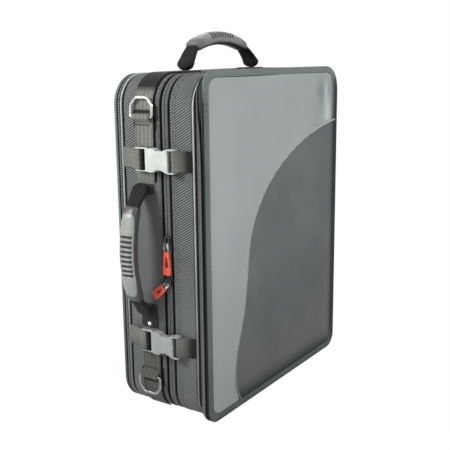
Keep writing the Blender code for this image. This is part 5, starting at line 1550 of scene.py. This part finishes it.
def gripPlace(u, rise):
    share = u / handle["gripHalf"]
    return (Vector((u, 0, rise - handle["drop"] * share ** 2)),
            math.atan2(-2 * handle["drop"] * share, handle["gripHalf"]))


def handleStation(place, point, slope, wide, thick):
    across = Vector((0, 1, 0))
    along = Vector((math.cos(slope), 0, math.sin(slope)))
    out = Vector((-math.sin(slope), 0, math.cos(slope)))
    turn = Matrix((across * wide, out * thick, along)).transposed().to_4x4()
    return place @ Matrix.Translation(point) @ turn


sleeveShares = (0.0, 0.02, 0.12, 0.25, 0.4, 0.55, 0.68, 0.78, 0.86, 0.93, 1.0)
tipShares = (0.3, 0.55, 0.75, 0.9, 0.97)


def sleeveHalf(rise):
    # the sleeve from the grip to its rounded end by the foot: place, slope, half width, half thickness
    half = []
    end = gripPlace(handle["gripHalf"] - handle["tuck"], rise)[0]
    hinge = Vector((handle["halfSpan"], 0, handle["hingeRise"]))
    chord = hinge - end
    lean = math.atan2(chord.z, chord.x)
    normal = Vector((-math.sin(lean), 0, math.cos(lean)))
    for share in sleeveShares:
        bulge = handle["belly"] * 4 * share * (1 - share)
        turn = handle["belly"] * 4 * (1 - 2 * share) / chord.length
        wide, thick = handle["core"], handle["coreThickness"]
        if share > 0:
            wide = handle["sleeveWidth"]
            wide += (handle["endWidth"] - wide) * smoothShare(share / 0.8)
            thick = handle["sleeveThickness"]
            thick += (handle["endThickness"] - thick) * smoothShare((share - 0.72) / 0.2)
        half.append((end + chord * share + normal * bulge, lean + turn, wide, thick))
    tip = half[-1][1]
    along = Vector((math.cos(tip), 0, math.sin(tip)))
    for share in tipShares:
        closing = math.sqrt(1 - share ** 2)
        half.append((hinge + along * handle["endRadius"] * share, tip, handle["endWidth"] * closing,
                     handle["endThickness"] * (0.35 + 0.65 * closing)))
    return half


def sleeveStations(place, rise):
    half = sleeveHalf(rise)
    mirrored = [(Vector((-point.x, 0, point.z)), -slope, wide, thick) for point, slope, wide, thick in half]
    core = []
    for step in range(-8, 9):
        point, slope = gripPlace((handle["gripHalf"] - handle["coreTuck"]) * step / 8, rise)
        core.append((point, slope, handle["core"], handle["coreThickness"]))
    whole = list(reversed(mirrored)) + core + half
    return [handleStation(place, *station) for station in whole]


def gripShape(u):
    # half width and half thickness along the grip, closing round the sleeve at each end
    fullness = 1 - (u / handle["gripHalf"]) ** 2
    wide = grip["endWidth"] + (grip["width"] - grip["endWidth"]) * fullness
    thick = grip["endThickness"] + (grip["thickness"] - grip["endThickness"]) * fullness ** 0.8
    nose = min(max((abs(u) - grip["noseStart"]) / (handle["gripHalf"] - grip["noseStart"]), 0), 1)
    closing = math.sqrt(max(1 - nose ** 2.4, 0))
    return (grip["noseWidth"] + (wide - grip["noseWidth"]) * closing,
            grip["noseThickness"] + (thick - grip["noseThickness"]) * closing)


def padReading(u, across, out):
    # below 1 on the smooth pad of the grip, 1 on the rail round it and more beyond
    turn = math.degrees(math.atan2(abs(across), out)) / grip["padTurn"]
    return (abs(u / grip["padHalf"]) ** 4 + turn ** 4) ** 0.25


def grooveAt(u, across, out, spec):
    # 0 on the smooth grip and 1 at the bottom of a groove
    if abs(u) > grip["grooves"] * grip["pitch"] / 2:
        return 0.0
    nearest = round(u / grip["pitch"]) * grip["pitch"]
    width = grip["grooveWidth"] * spec["grooveShare"]
    along = 1 - smoothShare((abs(u - nearest) - width * 0.28) / (width * 0.25))
    turn = math.degrees(math.atan2(abs(across), out)) / grip["padTurn"]
    return along * (1 - smoothShare((turn - spec["grooveReach"]) / 0.12))


def skewPiece(piece, place, spec):
    # the soft handle leans a little along its own length
    back = place.inverted()
    for vert in piece.data.vertices:
        local = back @ vert.co
        height = (local.z - handle["hingeRise"]) / (spec["rise"] - handle["hingeRise"])
        local.x += spec["skew"] * smoothShare(height)
        vert.co = place @ local


def makeSleeve(side, spec):
    place = spec["place"]
    section = softSquare(24, 0.45, 0.6)
    stations = sleeveStations(place, spec["rise"])
    strap = sweepPiece(side + "HandleStrap", section, stations)
    sweepUv(strap, section, stations)
    skewPiece(strap, place, spec)
    paintPiece(strap, sleeveFinish, 50)
    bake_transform(strap)
    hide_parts(side + "_handle_strap")


def shapeGrip(piece, spec, section, spots, stations):
    # raises the rail, sinks the grooves and marks the painted shade: in the grooves, on the sides beyond the
    # pad, underneath and at the ends
    grooves, edges = [], []
    for vert in piece.data.vertices:
        step = min(vert.index // len(section), len(spots) - 1)
        local = stations[step].inverted() @ vert.co
        groove = grooveAt(spots[step], local.x, local.y, spec)
        pad = padReading(spots[step], local.x, local.y)
        rail = math.exp(-((pad - 1) / grip["railWidth"]) ** 2)
        lift = Vector((local.x, local.y, 0)).normalized()
        wide, thick = gripShape(spots[step])
        raised = grip["railRise"] * rail - grip["grooveDepth"] * groove
        vert.co = stations[step] @ (local + Vector((lift.x / wide, lift.y / thick, 0)) * raised)
        beyond = spec["edgeShare"] * smoothShare((pad - 1.04) / 0.10)
        under = grip["underShare"] * smoothShare((-0.35 - local.y) / 0.4)
        tip = spec["tipShare"] * smoothShare((abs(spots[step]) - grip["tipFrom"]) / grip["tipOver"])
        grooves.append(groove)
        edges.append(max(beyond, under, tip) * (1 - 0.9 * rail))
    markPoints(piece, "grooveShade", lambda vert: grooves[vert.index])
    markPoints(piece, "edgeShade", lambda vert: edges[vert.index])


def makeGrip(side, spec):
    section = softSquare(grip["sides"], 0.66, 0.66)
    half = handle["gripHalf"]
    spots = [-half + 2 * half * step / grip["steps"] for step in range(grip["steps"] + 1)]
    stations = [handleStation(spec["place"], *gripPlace(u, spec["rise"]), *gripShape(u)) for u in spots]
    piece = sweepPiece(side + "HandleGrip", section, stations)
    sweepUv(piece, section, stations)
    shapeGrip(piece, spec, section, spots, stations)
    skewPiece(piece, spec["place"], spec)
    settle(piece, side + "_handle", gripFinish, [side + "_handle_grip"], 70)


feet = {"side_foot_upper": "upperSideFoot", "side_foot_lower": "lowerSideFoot",
        "top_foot_left": "leftTopFoot", "top_foot_right": "rightTopFoot"}


def makeFeet():
    for node, name in feet.items():
        piece = nodeCopy(node, name)
        softenEdges(piece, 0.0005, 3, 40)
        setFlatUv(piece)
        settle(piece, "back_half", footFinish, [node], 40)
    rivet = nodeCopy("side_handle_rivet", "handleRivet")
    softenEdges(rivet, 0.0002, 2, 30)
    settle(rivet, "back_half", rivetFinish, ["side_handle_rivet"], 60)


def setFlatUv(piece):
    # the pattern laid flat on whichever way the piece faces most
    layer = patternLayer(piece)
    places = [vert.co for vert in piece.data.vertices]
    box = [max(place[axis] for place in places) - min(place[axis] for place in places) for axis in range(3)]
    flat = [axis for axis in range(3) if axis != box.index(min(box))]
    for loop in piece.data.loops:
        place = places[loop.vertex_index]
        layer.data[loop.index].uv = (place[flat[1]], place[flat[0]])


for handleSide, handleSpec in handles.items():
    makeSleeve(handleSide, handleSpec)
    makeGrip(handleSide, handleSpec)
makeFeet()
print("handles are made")


# Zip sliders, links and pulls
pulls = {
    "upper": {"finish": "red_pull", "travel": "upper_zip_slider", "body": "upper_pull", "taper": 0.24,
              "sink": 0.0016, "shift": 0.0007, "slotHalf": 0.0016, "slotWiden": 1.7, "slotStretch": 1.12},
    "lower": {"finish": "red_pull", "travel": "lower_zip_slider", "body": "lower_pull"},
    "pocket": {"finish": "handle_sleeve", "travel": "pocket_zip_slider", "body": "pocket_pull", "flat": 0.6,
               "seat": 0.4104},
}


def shapePull(piece, spec):
    # tapers the pull towards its link and opens the slot in its face
    if "taper" not in spec:
        return
    depths = [vert.co.y for vert in piece.data.vertices]
    heights = [vert.co.z for vert in piece.data.vertices]
    middle = (min(depths) + max(depths)) / 2
    low, length = min(heights), max(heights) - min(heights)
    for vert in piece.data.vertices:
        share = (vert.co.z - low) / length
        off = vert.co.y - middle
        if abs(off) < spec["slotHalf"] and 0.08 < share < 0.92:
            off *= spec["slotWiden"]
            vert.co.z = low + length * (0.5 + (share - 0.5) * spec["slotStretch"])
        else:
            off *= 0.94 - spec["taper"] * share
        vert.co.y = middle + off - spec["shift"]
        vert.co.z -= spec["sink"]


def lieFlat(piece, spec):
    # the pocket's slider, link and pull lie low behind the front binding
    if "flat" in spec:
        for vert in piece.data.vertices:
            vert.co.z = spec["seat"] + (vert.co.z - spec["seat"]) * spec["flat"]


def makePulls():
    for name, spec in pulls.items():
        slider = nodeCopy(name + "_slider", name + "Slider")
        lieFlat(slider, spec)
        softenEdges(slider, 0.00028, 2, 30)
        settle(slider, spec["travel"], sliderFinish, [name + "_slider"], 40)
        link = nodeCopy(name + "_pull_link", name + "PullLink")
        lieFlat(link, spec)
        applyModifier(link, "SUBSURF", levels=1, render_levels=1)
        settle(link, spec["body"], chromeFinish, [name + "_pull_link"], 60)
        piece = nodeCopy(name + "_pull_grip", name + "PullGrip")
        shapePull(piece, spec)
        lieFlat(piece, spec)
        softenEdges(piece, 0.0006, 3, 40)
        dark = spec["finish"] == "handle_sleeve"
        if dark:
            setFlatUv(piece)
        settle(piece, spec["body"], sleeveFinish if dark else pullFinish,
               [name + "_pull_grip"], 50)


makePulls()
print("sliders and pulls are made")


# Back cover, spine and what lies inside
backProfile = [(0.0603, 0.0098), (0.0648, 0.0098), (0.0653, 0.0100), (0.0655, 0.0106)]
spine = {"x": 0.16055, "thickness": 0.0018, "start": -0.0053, "end": -0.0157, "steps": 14, "height": 0.2894,
         "middle": 0.205, "hinge": 0.1615}
boardFront = -0.0631
plushLook = {"low": tone(26, 30, 40), "high": tone(58, 64, 80), "pile": 0.0009, "patch": 0.03,
             "pileShare": 0.45, "relief": 0.0005}


def makePlush(name="plushCloth", look=plushLook):
    # short pile that lies in soft patches
    finish = newFinish(name, 0.95, sheen=0.6)
    flat = patternSpace(finish, "Object")
    pile = grain(finish, flat, look["pile"], 3, 0.6)
    shade = mixValues(finish, pile, look["pileShare"], grain(finish, flat, look["patch"], 3))
    plug(finish, ramp(finish, shade, look["low"], look["high"], 0.3, 0.7), "Base Color")
    bump(finish, pile, look["relief"], 0.8)
    return finish


plushFinish = makePlush()
boardLook = {**tapeLook, "low": tone(54, 57, 58), "high": tone(88, 92, 92), "ribPitch": 0.0012,
             "relief": 0.0002}
boardFinish = makeTape("boardCloth", boardLook, "Object")


def makeBack():
    piece = layerPiece("backCloth", backProfile, "first last")
    setUv(piece, lambda place: (place.x, place.z))
    settle(piece, "back_half", clothFinish, ["back_panel"], 50)


def makeSpine():
    # one cloth over both halves of the hinge
    section = bandSection(spine["height"], spine["thickness"])
    run = spine["end"] - spine["start"]
    path = [Vector((spine["x"], spine["start"] + run * step / spine["steps"], spine["middle"]))
            for step in range(spine["steps"] + 1)]
    cloth = sweepPiece("spineCloth", section, pathStations(path, wallUp))
    setUv(cloth, clothUv)
    paintPiece(cloth, zipFinish, 50)
    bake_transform(cloth)
    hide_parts("spine_back", "spine_lid")


def makeBoard():
    # the stiff sheet of the pocket, its front face held back at boardFront
    board = nodeCopy("pocket_board", "pocketBoard")
    for vert in board.data.vertices:
        vert.co.y = max(vert.co.y, boardFront)
    setFlatUv(board)
    softenEdges(board, 0.0001, 2, 40)
    settle(board, "pocket", boardFinish, ["pocket_board"], 40)


pads = {
    "plushTray": {"node": "foam_tray", "body": "back_half", "voxel": 0.0042, "shrink": 0.0006, "cap": 0.0016,
                  "fill": 0.75, "pressure": 4.0, "frames": 20},
    "plushLining": {"node": "lid_lining", "body": "lid", "voxel": 0.0042, "shrink": 0.0012, "cap": 0.0030,
                    "fill": 0.6, "pressure": 4.0, "frames": 20},
}
quilt = {"spacing": 0.062, "depth": 0.0035, "half": 0.006, "middle": 0.205, "facing": 0.3}


def puffPiece(piece, pad):
    # blows the cover up a little as cloth, no point further than the cap
    home = [vert.co.copy() for vert in piece.data.vertices]
    cloth = piece.modifiers.new("puff", "CLOTH")
    cloth.settings.quality = 3
    cloth.settings.use_pressure = True
    cloth.settings.uniform_pressure_force = pad["pressure"]
    cloth.settings.effector_weights.gravity = 0
    cloth.point_cache.frame_start = 1
    cloth.point_cache.frame_end = pad["frames"]
    for frameNumber in range(1, pad["frames"] + 1):
        bpy.context.scene.frame_set(frameNumber)
    chooseOnly(piece)
    bpy.ops.object.modifier_apply(modifier=cloth.name)
    bpy.context.scene.frame_set(1)
    for vert, place in zip(piece.data.vertices, home):
        moved = vert.co - place
        if moved.length > pad["cap"]:
            vert.co = place + moved.normalized() * pad["cap"]


def makePads():
    for name, pad in pads.items():
        piece = nodeCopy(pad["node"], name)
        applyModifier(piece, "REMESH", mode="VOXEL", voxel_size=pad["voxel"])
        normals = [vert.normal.copy() for vert in piece.data.vertices]
        for vert, normal in zip(piece.data.vertices, normals):
            vert.co -= normal * pad["shrink"]
        puffPiece(piece, pad)
        applyModifier(piece, "SMOOTH", factor=0.5, iterations=3)
        if name == "plushLining":
            quiltLining(piece)
        applyModifier(piece, "SUBSURF", levels=1, render_levels=1)
        settle(piece, pad["body"], plushFinish, [pad["node"]], 80)


def quiltLining(piece):
    # sewn channels: slanting lines both ways, pulled into the lining's face
    for vert in piece.data.vertices:
        if vert.normal.y < quilt["facing"]:
            continue
        pull = 0
        for lean in (1, -1):
            across = (vert.co.x + lean * (vert.co.z - quilt["middle"])) / math.sqrt(2)
            off = abs((across + quilt["spacing"] / 2) % quilt["spacing"] - quilt["spacing"] / 2)
            pull = max(pull, 1 - smoothShare(off / quilt["half"]))
        vert.co.y -= quilt["depth"] * pull


makeBack()
makeSpine()
makeBoard()
makePads()
print("back, spine and padding are made")


# Stitches
stitchSize = {"length": 0.0021, "width": 0.0011, "height": 0.0007, "sunk": 0.00005}
outwardRows = {
    "zigzagStitches": {"body": "back_half", "y": -0.0016, "pitch": 0.0021, "lean": 38, "width": 0.0007},
    "lidStitchesRear": {"body": "lid", "y": -0.0222, "pitch": 0.0041, "lean": 0, "width": 0},
    "lidStitchesFront": {"body": "lid", "y": -0.0258, "pitch": 0.0041, "lean": 0, "width": 0},
}
spineGap = {"x": 0.12, "low": 0.05, "high": 0.36, "near": 0.004}
loopStitches = {"upperLoopStitches": 0.3535, "lowerLoopStitches": 0.0575}
loopRow = {"count": 12, "start": 0.0098, "step": 0.0018, "rise": 0.0020, "lean": 34}


def stitchPiece(name, places, body):
    # one small stitch, copied to every place
    piece = newPiece(name, bpy.ops.mesh.primitive_uv_sphere_add, segments=6, ring_count=4, radius=0.5)
    single = piece.data.copy()
    single.transform(Matrix.Diagonal((stitchSize["width"], stitchSize["height"], stitchSize["length"], 1)))
    build = bmesh.new()
    for place in places:
        known = len(build.verts)
        build.from_mesh(single)
        build.verts.ensure_lookup_table()
        for vert in build.verts[known:]:
            vert.co = place @ vert.co
    build.to_mesh(piece.data)
    build.free()
    bpy.data.meshes.remove(single)
    settle(piece, body, threadFinish, (), 80)


def stitchFrame(point, along, out, turn=0.0):
    across = along.cross(out)
    frame = Matrix((across, out, along)).transposed().to_4x4()
    return Matrix.Translation(point) @ frame @ Matrix.Rotation(math.radians(turn), 4, "Y")


def makeStitchRows():
    for name, row in outwardRows.items():
        count = int(outlineLength() / row["pitch"])
        places = []
        for step in range(count):
            point, out = outlinePlace(outlineLength() * step / count)
            side = 1 if step % 2 else -1
            onSpine = point.x > spineGap["x"] and spineGap["low"] < point.z < spineGap["high"]
            if onSpine and abs(row["y"]) < spineGap["near"]:
                continue
            point = point + backwards * (row["y"] + side * row["width"]) + out * stitchSize["sunk"]
            places.append(stitchFrame(point, backwards.cross(out), out, side * row["lean"]))
        stitchPiece(name, places, row["body"])
    wall = -caseShape["width"] / 2 - loopRow["rise"]
    for name, height in loopStitches.items():
        points = [Vector((wall, loopRow["start"] + here * loopRow["step"], height))
                  for here in range(loopRow["count"])]
        places = [stitchFrame(point, wallUp, Vector((-1, 0, 0)),
                              loopRow["lean"] if here % 2 else -loopRow["lean"])
                  for here, point in enumerate(points)]
        stitchPiece(name, places, "back_half")


makeStitchRows()
print("stitches are made")
